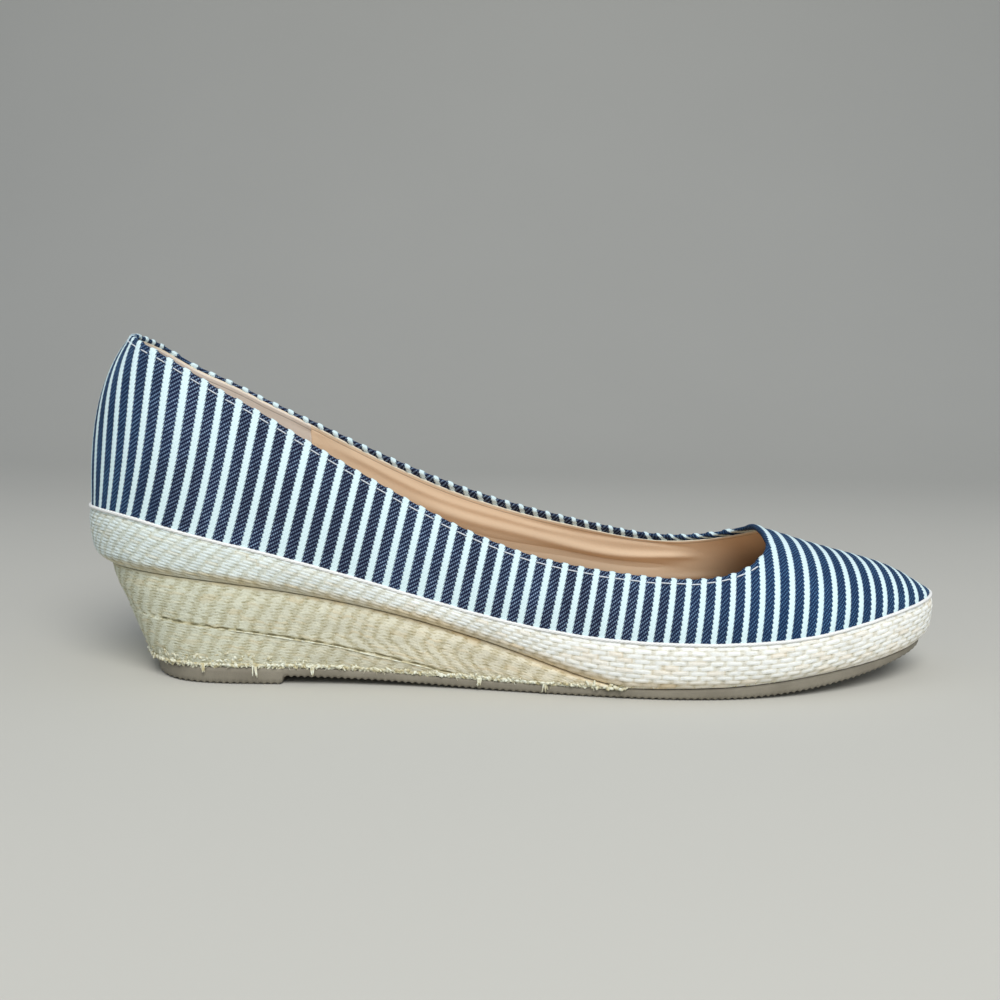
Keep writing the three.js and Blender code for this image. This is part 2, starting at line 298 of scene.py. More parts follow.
def collar_fraction(sign, x):
    """Share of the last's rise at which the collar cuts it."""
    height = np.where(sign < 0, lateral_collar(x), medial_collar(x))
    return np.clip((height - feather(x)) / np.maximum(last_rise(x), 1e-6), 0, 1)


def quarter_point(sign, place, up, depth):
    """Heel and quarter: superellipse sections that turn about the heel axis."""
    back = depth - HEEL_OVERHANG
    x = back + place * (1 - back / THROAT_START)
    centre, half, rise, power = last_at(sign, x, depth)
    high = np.sin(np.arcsin(collar_fraction(sign, x)) * up)
    wide = other_fraction(high, power)
    turned = x + np.maximum(0, HEEL_AXIS - x) * (1 - wide)
    return np.stack([turned, centre + sign * half * wide, feather(x) + GAP + rise * high], -1)


def vamp_point(sign, place, up, depth):
    """Vamp: straight lines in plan from the toe outline to the throat, lifted onto the last."""
    start = foot_angle(THROAT_START)
    part = np.clip((foot_angle(place) - start) / (math.pi - start), 0, 1)
    inset = UPPER_INSET + depth
    tip = LENGTH - inset
    foot_x = place * tip / LENGTH + THROAT_START * (1 - tip / LENGTH) * (1 - part)
    closing = 1 - (1 - part) ** 3
    throat_x = THROAT_START + (THROAT_FRONT - THROAT_START) * closing
    centre, half, _, power = last_at(sign, throat_x, depth)
    collar_wide = other_fraction(collar_fraction(sign, throat_x), power)
    wide = collar_wide * other_fraction(closing, THROAT_POWER)
    throat_y = centre + sign * half * wide
    foot_y = edge(sign, foot_x, inset, depth - HEEL_OVERHANG, inset)
    high = np.sin(np.arcsin(np.clip(other_fraction(wide, power), 0, 1)) * up)
    reach = (1 - other_fraction(high, power)) / (1 - wide)
    x = foot_x + (throat_x - foot_x) * reach
    y = foot_y + (throat_y - foot_y) * reach
    centre, half, rise, power = last_at(sign, x, depth)
    offset = np.abs(y - centre) / np.maximum(half, 1e-6)
    return np.stack([x, y, feather(x) + GAP + rise * other_fraction(offset, power)], -1)


# ---------------------------------------------------------------- loops of columns, and meshes


class Loop:
    """Columns round the shoe: heel to toe on the lateral side, then back on the medial side.

    `place` is x at the platform, `count` a running number that grows towards the toe, and `across`
    the same number, negative on the medial side, so that it grows to the right seen from outside.
    `turn` is the column at the toe, and `sides` picks each side's columns from the heel on. A
    `blunt` loop has that column once for each side.
    """

    def __init__(self, place, count, blunt=False):
        back = slice(None, 0, -1) if blunt else slice(-2, 0, -1)
        self.place = np.concatenate([place, place[back]])
        self.count = np.concatenate([count, count[back]])
        self.sign = np.concatenate([np.full(len(place), LATERAL), np.full(len(place[back]), MEDIAL)])
        self.across = -self.sign * self.count
        self.size = len(self.place)
        self.turn = len(place) - 1
        self.sides = (slice(0, len(place)), slice(self.size - 1, self.turn, -1))


def outline_run(front):
    """Dense places from the heel to `front`, and the outline's length to each, mean of both sides."""
    place = foot_place(np.linspace(0, 1, 6001) * float(foot_angle(front)))
    step = np.diff(place)
    run = [np.hypot(step, np.diff(side(place))) for side in (lateral_edge, medial_edge)]
    return place, np.concatenate([[0], np.cumsum((run[0] + run[1]) / 2)])


def loop_of(pitch, per_pitch=1, front=LENGTH, blunt=False):
    """Loop whose columns stand `pitch(x) / per_pitch` apart; a whole number of pitches a side."""
    place, run = outline_run(front)
    middle = (place[1:] + place[:-1]) / 2
    total = np.concatenate([[0], np.cumsum(np.diff(run) / pitch(middle))])
    whole = max(1, round(total[-1]))
    total *= whole / total[-1]
    count = np.arange(whole * per_pitch + 1) / per_pitch
    return Loop(np.interp(count, total, place), count, blunt)


def even_loop(step, front=LENGTH, blunt=False):
    """Loop whose columns stand `step` mm apart along the outline."""
    return loop_of(lambda x: np.full(np.shape(x), step), 1, front, blunt)


def unit(vectors):
    return vectors / np.maximum(np.linalg.norm(vectors, axis=-1, keepdims=True), 1e-12)


def outward(points):
    """Unit normals of rows that run round the loop and go up: along the row, crossed with up."""
    along = np.roll(points, -1, axis=1) - np.roll(points, 1, axis=1)
    return unit(np.cross(along, np.gradient(points, axis=0)))


def run_up(points):
    """Length along each column, from its first row."""
    step = np.linalg.norm(np.diff(points, axis=0), axis=-1)
    return np.concatenate([np.zeros((1, points.shape[1])), np.cumsum(step, axis=0)])


def ring_faces(rows, size, wrapped=False):
    """Quads between each row and the next, with the columns closed into a ring."""
    low = np.arange(rows if wrapped else rows - 1)
    high = (low + 1) % rows
    i = np.arange(size)
    after = (i + 1) % size
    low, high = low[:, None] * size, high[:, None] * size
    return np.stack([low + i, low + after, high + after, high + i], -1).reshape(-1, 4)


def across_faces(start, size, up):
    """Cap of quads and two end triangles from each lateral column to the medial one opposite."""
    half = size // 2
    i = np.arange(half)
    near, after = start + i, start + i + 1
    far, far_after = start + (size - i) % size, start + (size - i - 1) % size
    quads = np.stack([near, after, far_after, far], -1)
    return quads if up else quads[:, ::-1]


def to_frame(points):
    return (np.asarray(points, float).reshape(-1, 3) + FRAME_SHIFT) * MM


class PolygonList:
    """Several arrays of faces, of different numbers of corners, read as one list."""

    def __init__(self, *arrays):
        self.arrays = arrays

    def tolist(self):
        return [face for array in self.arrays for face in array.tolist()]


def add_object(name, points, faces, material):
    """Smooth mesh of points in metres, as an object at the origin; returns the object."""
    mesh = bpy.data.meshes.new(name)
    mesh.from_pydata(points.tolist(), [], faces)
    mesh.polygons.foreach_set("use_smooth", np.ones(len(mesh.polygons), bool))
    mesh.materials.append(material)
    made = bpy.data.objects.new(name, mesh)
    bpy.context.scene.collection.objects.link(made)
    return made


def add_piece(name, points, faces, material, node, maps=None, colours=None):
    """Piece from points in millimetres, hung on the root body, with its CAD node hidden. Points that a
    face names twice are dropped from it, and faces left with fewer than three are dropped too."""
    listed = [tuple(dict.fromkeys(face)) for face in faces.tolist()]
    listed = [face for face in listed if len(face) > 2]
    piece = add_object(name, to_frame(points), listed, material)
    mesh = piece.data
    corners = np.zeros(len(mesh.loops), np.int32)
    mesh.loops.foreach_get("vertex_index", corners)
    for map_name, (values, fix) in (maps or {}).items():
        layer = mesh.uv_layers.new(name=map_name)
        uv = np.asarray(values, float).reshape(-1, 2)[corners]
        if fix is not None:
            fix(uv, corners, mesh)
        layer.data.foreach_set("uv", uv.astype(np.float32).ravel())
    for layer_name, values in (colours or {}).items():
        layer = mesh.color_attributes.new(layer_name, "FLOAT_COLOR", "POINT")
        rgba = np.ones((len(mesh.vertices), 4), np.float32)
        rgba[:, :3] = np.asarray(values, float).reshape(-1, 3)
        layer.data.foreach_set("color", rgba.ravel())
    mesh.update()
    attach(piece, "root")
    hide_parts(node)


def both_turns(loop):
    """Corrects a map that changes sign on the medial side, on its faces next to heel and toe."""

    def fix(uv, corners, mesh):
        column_of = corners % loop.size
        first = np.zeros(len(mesh.polygons), np.int32)
        total = np.zeros(len(mesh.polygons), np.int32)
        mesh.polygons.foreach_get("loop_start", first)
        mesh.polygons.foreach_get("loop_total", total)
        face_of = np.repeat(np.arange(len(first)), total)
        for turn, beside in ((loop.turn, loop.turn + 1), (0, loop.size - 1)):
            medial = np.zeros(len(first), bool)
            np.logical_or.at(medial, face_of, column_of == beside)
            flip = medial[face_of] & (column_of == turn)
            uv[flip, 0] *= -1

    return fix


def tube(path, radius, sides, closed=False):
    """Rings of `sides` points round each path, square to it; open tubes get a face on each end.

    `path` is (strands, points, 3) and `radius` (strands, points). Returns points and faces.
    """
    if closed:
        ahead = np.roll(path, -1, axis=1) - np.roll(path, 1, axis=1)
    else:
        ahead = np.gradient(path, axis=1)
    ahead = unit(ahead)
    level = np.array([0.31, 0.17, 0.93])
    side = unit(np.cross(ahead, level))
    top = np.cross(side, ahead)
    turn = np.arange(sides) * TAU / sides
    ring = (
        side[:, :, None] * np.cos(turn)[:, None] + top[:, :, None] * np.sin(turn)[:, None]
    ) * radius[:, :, None, None]
    points = path[:, :, None] + ring
    strands, count = path.shape[:2]
    rows = np.arange(count if closed else count - 1)
    next_row = (rows + 1) % count
    i = np.arange(sides)
    after = (i + 1) % sides
    quad = np.stack(
        [
            rows[:, None] * sides + i,
            next_row[:, None] * sides + i,
            next_row[:, None] * sides + after,
            rows[:, None] * sides + after,
        ],
        -1,
    ).reshape(-1, 4)
    base = (np.arange(strands) * count * sides)[:, None]
    faces = (quad[None] + base[:, None]).reshape(-1, 4)
    if not closed:
        faces = PolygonList(faces, base + i, base + (count - 1) * sides + i[::-1])
    return points.reshape(-1, 3), faces


def tube_map(along, sides):
    """Map of a tube: millimetres along it, and share of the turn round it."""
    shape = (*along.shape, sides)
    turn = np.broadcast_to(np.arange(sides) / sides, shape)
    return np.stack([np.broadcast_to(along[..., None], shape), turn], -1)


def resampled(at, places, values):
    """Values of three columns at new places along a line, each column read straight between."""
    return np.stack([np.interp(at, places, values[:, k]) for k in range(3)], -1)


def placed_shift():
    """Moves the drawing frame onto the packed one, by the box of the jute platform."""
    low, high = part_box("midsole")
    widest = lateral_edge(np.linspace(0, LENGTH, 20001)).max()
    return np.array([high.x / MM - LENGTH, low.y / MM + widest, 0.0])


FRAME_SHIFT = placed_shift()


# ---------------------------------------------------------------- shader nodes


class Field:
    """A node socket that arithmetic can be written on; each operation adds one Math node."""

    def __init__(self, graph, socket):
        self.graph = graph
        self.socket = socket

    def math(self, operation, *others):
        values = {i: value for i, value in enumerate((self, *others))}
        return self.graph.node("ShaderNodeMath", {"operation": operation}, values)

    def __add__(self, other):
        return self.math("ADD", other)

    __radd__ = __add__

    def __sub__(self, other):
        return self.math("SUBTRACT", other)

    def __rsub__(self, other):
        return self.graph.node("ShaderNodeMath", {"operation": "SUBTRACT"}, {0: other, 1: self})

    def __mul__(self, other):
        return self.math("MULTIPLY", other)

    __rmul__ = __mul__

    def __truediv__(self, other):
        return self.math("DIVIDE", other)

    def __pow__(self, other):
        return self.math("POWER", other)

    def between(self, low, high, to_low=0.0, to_high=1.0):
        """Smooth step from to_low, at low, to to_high, at high."""
        return self.graph.node(
            "ShaderNodeMapRange",
            {"interpolation_type": "SMOOTHSTEP"},
            {"Value": self, "From Min": low, "From Max": high, "To Min": to_low, "To Max": to_high},
        )


class Graph:
    """A material's nodes, ending in a Principled shader."""

    def __init__(self, name):
        self.material = bpy.data.materials.new(name)
        self.material.use_nodes = True
        self.tree = self.material.node_tree
        self.tree.nodes.clear()
        self.output = self.tree.nodes.new("ShaderNodeOutputMaterial")
        self.shader = self.tree.nodes.new("ShaderNodeBsdfPrincipled")
        self.tree.links.new(self.shader.outputs[0], self.output.inputs["Surface"])

    def plug(self, node, sockets):
        for key, value in sockets.items():
            if isinstance(value, Field):
                self.tree.links.new(value.socket, node.inputs[key])
            else:
                node.inputs[key].default_value = value

    def node(self, kind, settings=None, sockets=None, output=0):
        """Any other node: its settings first, then its sockets' values or links."""
        node = self.tree.nodes.new(kind)
        for key, value in (settings or {}).items():
            setattr(node, key, value)
        self.plug(node, sockets or {})
        return Field(self, node.outputs[output])

    def parts(self, vector):
        """The three numbers of a vector."""
        split = self.tree.nodes.new("ShaderNodeSeparateXYZ")
        self.tree.links.new(vector.socket, split.inputs[0])
        return [Field(self, socket) for socket in split.outputs]

    def vector(self, x, y, z=0.0):
        return self.node("ShaderNodeCombineXYZ", None, {0: x, 1: y, 2: z})

    def mix(self, factor, first, second, blend="MIX"):
        """Mix of two colours; numbers of 3 become colours."""
        first, second = (v if isinstance(v, Field) else (*v, 1.0) for v in (first, second))
        settings = {"data_type": "RGBA", "blend_type": blend, "clamp_factor": True}
        return self.node("ShaderNodeMix", settings, {0: factor, 6: first, 7: second}, 2)

    def off_middle(self, field):
        """Distance of a number's fraction from a half."""
        return (field.math("FRACT") - 0.5).math("ABSOLUTE")

    def tinted(self, colour, amount):
        """Colour times a number, kept a colour."""
        grey = self.vector(amount, amount, amount)
        return self.mix(1.0, colour, grey, "MULTIPLY")

    def noise(self, vector, scale, detail=3.0, roughness=0.55):
        sockets = {"Vector": vector, "Scale": scale, "Detail": detail, "Roughness": roughness}
        return self.node("ShaderNodeTexNoise", None, sockets)

    def place(self):
        """Object coordinates, in metres."""
        return self.node("ShaderNodeTexCoord", None, None, "Object")

    def map(self, name):
        return self.node("ShaderNodeUVMap", {"uv_map": name})

    def attribute(self, name):
        return self.node("ShaderNodeAttribute", {"attribute_name": name}, None, "Vector")

    def relief(self, height, distance, strength=1.0, below=None):
        """Bump of `distance` metres for a height of 1."""
        sockets = {"Height": height, "Distance": distance, "Strength": strength}
        if below is not None:
            sockets["Normal"] = below
        return self.node("ShaderNodeBump", None, sockets)

    def surface(self, **sockets):
        """Sets or links the shader's sockets; underscores stand for spaces."""
        self.plug(self.shader, {key.replace("_", " "): value for key, value in sockets.items()})
        return self.material


def paint(red, green, blue):
    """Linear colour of a display colour from 0 to 255."""
    share = np.array([red, green, blue]) / 255
    linear = np.where(share <= 0.04045, share / 12.92, ((share + 0.055) / 1.055) ** 2.4)
    return tuple(float(v) for v in linear)


# ---------------------------------------------------------------- the user's settings


def length_prop(name, description, default):
    """A length in metres."""
    return FloatProperty(
        name=name, description=description, default=default, min=0, precision=5, unit="LENGTH"
    )


def share_prop(name, description, default):
    return FloatProperty(
        name=name, description=description, default=default, min=0, max=1, subtype="FACTOR"
    )


def colour_prop(name, description, default):
    return FloatVectorProperty(
        name=name, description=description, default=default, size=3, min=0, max=1, subtype="COLOR"
    )


class ClothSettings(bpy.types.PropertyGroup):
    """Striped denim of the upper."""

    navy: colour_prop("Navy", "Warp of the dark stripes", paint(8, 15, 44))
    worn_navy: colour_prop("Worn navy", "Warp where the cloth is worn", paint(14, 30, 70))
    # Painted sky sheen: the next two colours make the navy bluer at the toe and the heel.
    painted_sheen_navy: colour_prop("Cool navy", "Dark stripes at toe and heel", paint(20, 62, 108))
    painted_cool_tint: colour_prop("Cool tint", "Tint of the cloth at toe and heel", paint(186, 232, 248))
    fleck: colour_prop("Fleck", "Pale weft showing through the dark stripes", paint(160, 190, 222))
    white: colour_prop("White", "Pale stripes", paint(226, 250, 254))
    dark_share: share_prop("Dark share", "Share of a stripe's pitch that is navy", 0.63)
    stripe_relief: length_prop("Stripe relief", "How far the pale stripes stand proud", 0.00012)
    twill_pitch: length_prop("Twill pitch", "Distance between twill lines up the cloth", 0.0013)
    thread: colour_prop("Thread", "Topstitching", paint(228, 234, 240))
    stitch_drop: length_prop("Stitch drop", "Stitching below the collar edge", 0.0019)
    stitch_length: length_prop("Stitch length", "Length of one stitch", 0.0033)


class JuteSettings(bpy.types.PropertyGroup):
    """Braided jute of the band and the wedge."""

    band_light: colour_prop("Band light", "Top of the band's strands", paint(255, 255, 250))
    # Painted shade: the band's colour in the gaps between its strands.
    band_painted_shade: colour_prop("Band shade", "Between the band's strands", paint(180, 176, 156))
    wedge_light: colour_prop("Wedge light", "Top of the wedge's strands", paint(240, 231, 207))
    # Painted shade: the wedge's colour in the gaps between its strands.
    wedge_painted_shade: colour_prop("Wedge shade", "Between the wedge's strands", paint(132, 122, 92))
    # Multiplies random strands and the strip of jute along the seam.
    tan: colour_prop("Tan", "Tint of the softer jute in the seam", paint(231, 212, 184))
    # Painted shade: tints the jute darker and cooler towards the heel.
    painted_cool_tint: colour_prop("Cool tint", "Tint of the jute towards the heel", paint(216, 237, 241))
    loose_tint: colour_prop("Loose tint", "Tint of the loose ends", paint(236, 239, 228))
    # The cross threads' own tan, darker than the strands' tops partly as painted shade where they lie
    # low.
    band_weft: colour_prop("Band weft", "Cross threads of the band", paint(240, 236, 222))
    wedge_weft: colour_prop("Wedge weft", "Cross threads of the wedge", paint(208, 195, 160))
    band_relief: length_prop("Band relief", "Height of the band's strands", 0.00036)
    wedge_relief: length_prop("Wedge relief", "Height of the wedge's strands", 0.00036)
    cord_radius: length_prop("Edge cord", "Radius of the white cord on the edge", 0.0005)
    cord_colour: colour_prop("Edge cord colour", "White cord on the edge", paint(246, 247, 244))


class InsideSettings(bpy.types.PropertyGroup):
    """Lining, heel grip and sock."""

    tan: colour_prop("Tan", "Lining", paint(247, 221, 189))
    # Painted shade low in the shoe on the lining; on the sock, the darker wear where the foot rests.
    deep_shade_and_wear: colour_prop("Deep tan", "Lining low in the shoe", paint(118, 97, 74))
    grip: colour_prop("Heel grip", "Lining behind the heel", paint(228, 218, 206))
    cut: colour_prop("Cut edge", "Cut edge of the lining", paint(234, 220, 196))
    sock: colour_prop("Sock", "Insole", paint(204, 168, 128))
    fold: length_prop("Fold", "Height of the lining's soft folds", 0.0009)


class SoleSettings(bpy.types.PropertyGroup):
    """Rubber sole."""

    rubber: colour_prop("Rubber", "Sole", paint(124, 118, 104))
    scuffed: colour_prop("Scuffed", "Dust and wear along its edges", paint(152, 146, 131))
    ridge: length_prop("Ridge", "Height of the tread's ridges", 0.00045)
    ridge_pitch: length_prop("Ridge pitch", "Distance between the tread's ridges", 0.0019)


class StageSettings(bpy.types.PropertyGroup):
    """Floor, light and camera."""

    floor: colour_prop("Floor", "Pale floor and backdrop", paint(197, 196, 188))
    sky: colour_prop("Sky", "Light from all round", (0.80, 0.87, 1.0))
    sky_strength: FloatProperty(name="Sky strength", description="All round", default=0.42, min=0)
    key_power: FloatProperty(
        name="Key power", description="Large light above", default=16.0, min=0, unit="POWER"
    )
    fill_power: FloatProperty(
        name="Fill power", description="Light from the front", default=1.5, min=0, unit="POWER"
    )


# ---------------------------------------------------------------- materials


THREADS_PER_STRIPE = 11.0
STEP_PER_THREAD = 1 / 3
SAW_EDGE = 0.085


def denim(settings):
    """Twill with stripes: navy where the stripe number is nearly whole, pale between.

    A twill line climbs by STEP_PER_THREAD of its pitch at each thread. The navy fades in broad
    patches where it is worn, and is bluer at the toe and the heel, a painted sky sheen where the
    cloth turns away at a grazing angle.
    """
    g = Graph("striped_denim")
    count, along, _ = g.parts(g.map("cloth"))
    x, _, _ = g.parts(g.place())
    threads = count * THREADS_PER_STRIPE
    pitch = settings.twill_pitch / MM
    step = along / pitch - threads.math("FLOOR") * STEP_PER_THREAD
    lit = g.off_middle(step).between(0.05, 0.28, 1.0, 0.0)
    ridge = g.off_middle(threads)
    lit = lit * ridge.between(0.2, 0.5, 1.0, 0.35)
    worn = g.noise(g.place(), 55.0, 4.0)
    fine = g.noise(g.place(), 900.0, 2.0)
    saw = ((along / pitch - threads * STEP_PER_THREAD).math("FRACT") - 0.5) * SAW_EDGE
    off = g.off_middle(count.math("ABSOLUTE") + 0.5) + saw
    half = settings.dark_share / 2
    pale = off.between(half - 0.02, half + 0.02)
    faded = lit * fine.between(0.3, 0.65, 0.45, 1.0) * worn.between(0.35, 0.7, 0.55, 0.95)
    navy = g.mix(worn.between(0.4, 0.75, 0.0, 0.5), settings.navy, settings.worn_navy)
    # Painted sheen: towards the toe and the heel the navy is tinted bluer, standing in for the sky's
    # sheen on cloth seen at a grazing angle.
    grazing_sheen = x.between(0.02, 0.08, 0.0, 1.0) + x.between(-0.122, -0.09, 1.0, 0.0)
    navy = g.mix(faded * 0.86, navy, settings.fleck)
    navy = g.mix(grazing_sheen, navy, settings.painted_cool_tint, "MULTIPLY")
    navy = g.mix(grazing_sheen * 0.35, navy, settings.painted_sheen_navy)
    # Painted shade: the pale stripes are a tenth darker off the twill lines.
    white = g.tinted(settings.white, lit * 0.1 + 0.9)
    colour = g.mix(pale, navy, white)
    weave = g.relief(lit * 0.6 + ridge.between(0.1, 0.5, 0.4, 0.0) + pale * 0.5, 0.00009)
    return g.surface(Base_Color=colour, Roughness=0.9, Normal=weave, Specular_IOR_Level=0.25)


def braid(name, light, weft, shade, settings):
    """Jute strands: pale on top, darker cross threads, dark gaps, fibres drawn out along them."""
    g = Graph(name)
    height, luck, zone = g.parts(g.attribute("braid"))
    along, down, _ = g.parts(g.map("tape"))
    x, _, _ = g.parts(g.place())
    fibre = g.noise(g.vector(along * 1.1, down * 8.0), 1.0, 4.0, 0.6)
    speck = g.noise(g.place(), 1400.0, 2.0)
    patch = g.noise(g.place(), 60.0, 2.0)
    rough = height + (fibre - 0.5) * 0.5
    # Painted shade: the colour follows the strands' height, with the shade colour in gaps, creases and
    # gully, the weft colour lower down and the light colour on the tops.
    colour = g.mix(rough.between(0.02, 0.3), shade, weft)
    colour = g.mix(rough.between(0.3, 0.62), colour, light)
    # Tan tint on random strands, and a tan strip along the seam, strongest next to it.
    tanned = luck.between(0.7, 1.0, 0.0, 0.45) + zone * patch.between(0.3, 0.7, 0.65, 1.0)
    colour = g.mix(tanned, colour, settings.tan, "MULTIPLY")
    # Painted shade: the jute is tinted darker and cooler towards the heel, where less light falls on
    # it.
    colour = g.mix(x.between(-0.13, 0.03, 0.65, 0.12), colour, settings.painted_cool_tint, "MULTIPLY")
    bright = fibre * 0.34 + speck * 0.2 + patch * 0.16 + luck * 0.1
    # Random tone of fibres, specks, patches and strands, plus painted light: a little brighter towards
    # the toe, where the band faces up into the light.
    colour = g.tinted(colour, bright + x.between(-0.02, 0.06, 0.59, 0.66))
    grain = g.relief(fibre + speck * 0.4, 0.00026)
    return g.surface(Base_Color=colour, Roughness=0.92, Normal=grain, Specular_IOR_Level=0.3)


def lining(name, tan, deep_shade_and_wear, cut):
    """Smooth lining with fine pores; its map's height runs from the cut edge down.

    It goes from `tan` to a darker tan down that height, painted shade deeper in the shoe; a groove
    pressed beside the edge sets off the `cut` one, and is painted darker as painted shade in it.
    """
    g = Graph(name)
    along, down, _ = g.parts(g.map("sheet"))
    grain = g.noise(g.place(), 1600.0, 3.0)
    cloud = g.noise(g.vector(along * 0.02, down * 0.09), 1.0, 3.0)
    # Painted shade: the lining darkens from the cut edge down into the shoe.
    colour = g.mix(down.between(1.5, 24.0), tan, deep_shade_and_wear)
    colour = g.tinted(colour, cloud * 0.22 + 0.89)
    edge_share = down.between(0.15, 0.5, 1.0, 0.0)
    colour = g.mix(edge_share, colour, cut)
    # Painted shade: the groove below the cut edge is darkened in the colour as well as pressed into
    # the relief.
    groove = (down - 1.05).math("ABSOLUTE").between(0.05, 0.26, 0.62, 1.0)
    colour = g.tinted(colour, groove)
    skin = g.relief(grain * 0.7 + groove * 1.5, 0.00006)
    rough = cloud.between(0.3, 0.7, 0.5, 0.62)
    return g.surface(Base_Color=colour, Roughness=rough, Normal=skin, Specular_IOR_Level=0.35)


def thread_material(name, colour, twist):
    """White thread or cord, with a slanting twist along its own map."""
    g = Graph(name)
    along, turn, _ = g.parts(g.map("cord"))
    ply = g.off_middle(along / twist + turn) * 2.0
    fuzz = g.noise(g.place(), 1500.0, 2.0)
    shaded = g.tinted(colour, ply * 0.12 + fuzz * 0.12 + 0.8)
    relief = g.relief(ply + fuzz * 0.5, 0.00012)
    return g.surface(Base_Color=shaded, Roughness=0.85, Normal=relief)


def rubber(settings):
    """Matt rubber with speckles, scuffed pale where the side is worn."""
    g = Graph("taupe_rubber")
    speck = g.noise(g.place(), 2600.0, 2.0)
    cloud = g.noise(g.place(), 90.0, 4.0)
    wear, _, _ = g.parts(g.attribute("wear"))
    colour = g.mix(cloud.between(0.35, 0.7, 0.0, 0.45), settings.rubber, settings.scuffed)
    colour = g.mix(wear * speck.between(0.3, 0.6), colour, settings.scuffed)
    colour = g.tinted(colour, speck * 0.25 + 0.87)
    relief = g.relief(speck + cloud, 0.00006)
    return g.surface(Base_Color=colour, Roughness=0.72, Normal=relief)


def sock_material(settings):
    """Tan sock, a little darker and shinier where the foot rests."""
    g = Graph("tan_sock")
    x, y, _ = g.parts(g.place())
    grain = g.noise(g.place(), 1700.0, 3.0)
    cloud = g.noise(g.place(), 35.0, 3.0)
    heel = ((x + 0.088) ** 2 * 0.5 + y ** 2).between(0.0002, 0.0009, 1.0, 0.0)
    ball = ((x - 0.035) ** 2 * 0.5 + y ** 2).between(0.0003, 0.0014, 1.0, 0.0)
    worn = (heel + ball) * 0.4
    colour = g.mix(worn, settings.sock, settings.deep_shade_and_wear)
    colour = g.tinted(colour, cloud * 0.18 + grain * 0.08 + 0.86)
    relief = g.relief(grain, 0.00006)
    rough = 0.66 - worn * 0.3
    return g.surface(Base_Color=colour, Roughness=rough, Normal=relief)


def fibre_material(settings):
    """Loose jute ends."""
    g = Graph("loose_jute")
    speck = g.noise(g.place(), 700.0, 2.0)
    colour = g.mix(speck.between(0.3, 0.7), settings.wedge_weft, settings.band_light)
    colour = g.mix(1.0, colour, settings.loose_tint, "MULTIPLY")
    return g.surface(Base_Color=colour, Roughness=0.9)


def floor_material(settings):
    """Plain pale floor, very slightly mottled."""
    g = Graph("pale_floor")
    cloud = g.noise(g.place(), 3.0, 3.0)
    colour = g.tinted(settings.floor, cloud * 0.06 + 0.97)
    return g.surface(Base_Color=colour, Roughness=0.8)


# ---------------------------------------------------------------- the upper


UPPER_ROWS = 84
CLOTH_STEP = 0.62
BACK_SEAM = 0.3
BACK_SEAM_WIDTH = 0.8
RIM = 0.6
RIM_ROWS = 7
RIM_COUNT_REACH = 4.0
FACING_DEPTH = 2 * RIM
HIDDEN_DEPTH = 0.8
LINING_DEPTH = 1.75
LINING_BACK = 1.25


def skin(loop, up, depth):
    """Points of the upper's skin `depth` inside its outer face, for each row and column."""
    shape = np.broadcast_shapes(np.shape(up), np.shape(depth), (1, loop.size))
    up = np.broadcast_to(up, shape)
    depth = np.broadcast_to(depth, shape)
    points = np.empty((*shape, 3))
    rear = loop.place < THROAT_START
    front = ~rear
    points[:, rear] = quarter_point(
        loop.sign[rear], loop.place[rear], up[:, rear], depth[:, rear]
    )
    points[:, front] = vamp_point(
        loop.sign[front], loop.place[front], up[:, front], depth[:, front]
    )
    return points


def share_for(loop, drop, depth=0.0):
    """Share of the way up at which a column is `drop` mm short of the collar."""
    top = skin(loop, np.array([[0.97], [1.0]]), depth)
    slope = np.linalg.norm(top[1] - top[0], axis=-1) / 0.03
    return 1 - drop / slope


STRETCH_STEP = 6
STRETCH_MOST = 1.25


def cloth_count(loop, points):
    """Stripe number of each point: the number at its foot, drawn back by the stripes' lean.

    The foot is the place at the platform below the point. Behind the heel axis the lean is laid
    off along the outline instead of along the foot, so that the two sides' stripes meet at the
    back seam.
    """
    foot = skin(loop, np.zeros((1, 1)), 0.0)[0, :, 0]
    foot = np.clip(np.where(loop.place < HEEL_AXIS, foot, points[..., 0]), 0, LENGTH)
    above = np.maximum(points[..., 2] - feather(foot) - GAP, 0)
    back = (stripe_lean(foot) + stripe_bend(foot) * above) * above
    place, run = outline_run(LENGTH)
    at_foot, at_next = (np.interp(foot + ahead, place, run) for ahead in (0, STRETCH_STEP))
    stretch = np.clip((at_next - at_foot) / STRETCH_STEP, 1, STRETCH_MOST)
    heel = np.interp(np.maximum(at_foot - back * stretch, 0), run, place)
    return stripe_count(np.where(loop.place < HEEL_AXIS, heel, np.clip(foot - back, 0, LENGTH)))


def cloth_run(loop, points):
    """Length up the cloth from the platform, straight from there to the point."""
    x = points[..., 0]
    foot_y = edge(loop.sign, x, UPPER_INSET, -HEEL_OVERHANG, UPPER_INSET)
    front = np.abs(points[..., 1] - foot_y)
    rear = np.hypot(*(points[..., :2] - points[:1, :, :2]).transpose(2, 0, 1))
    aside = np.where(loop.place < HEEL_AXIS, rear, front)
    return np.hypot(aside, points[..., 2] - feather(np.clip(x, 0, LENGTH)) - GAP)


def pale_share(count, dark_share):
    """1 on a pale stripe and 0 on a navy one, with soft edges."""
    off = np.abs(count - np.round(count))
    return smoothstep(off, dark_share / 2 - 0.05, dark_share / 2 + 0.05)


def facing_width(loop):
    """How far the cloth is turned in: a hair at the heel, nearly 2 mm from the waist on."""
    return 0.15 + 1.75 * smoothstep(loop.place, 35, 115)


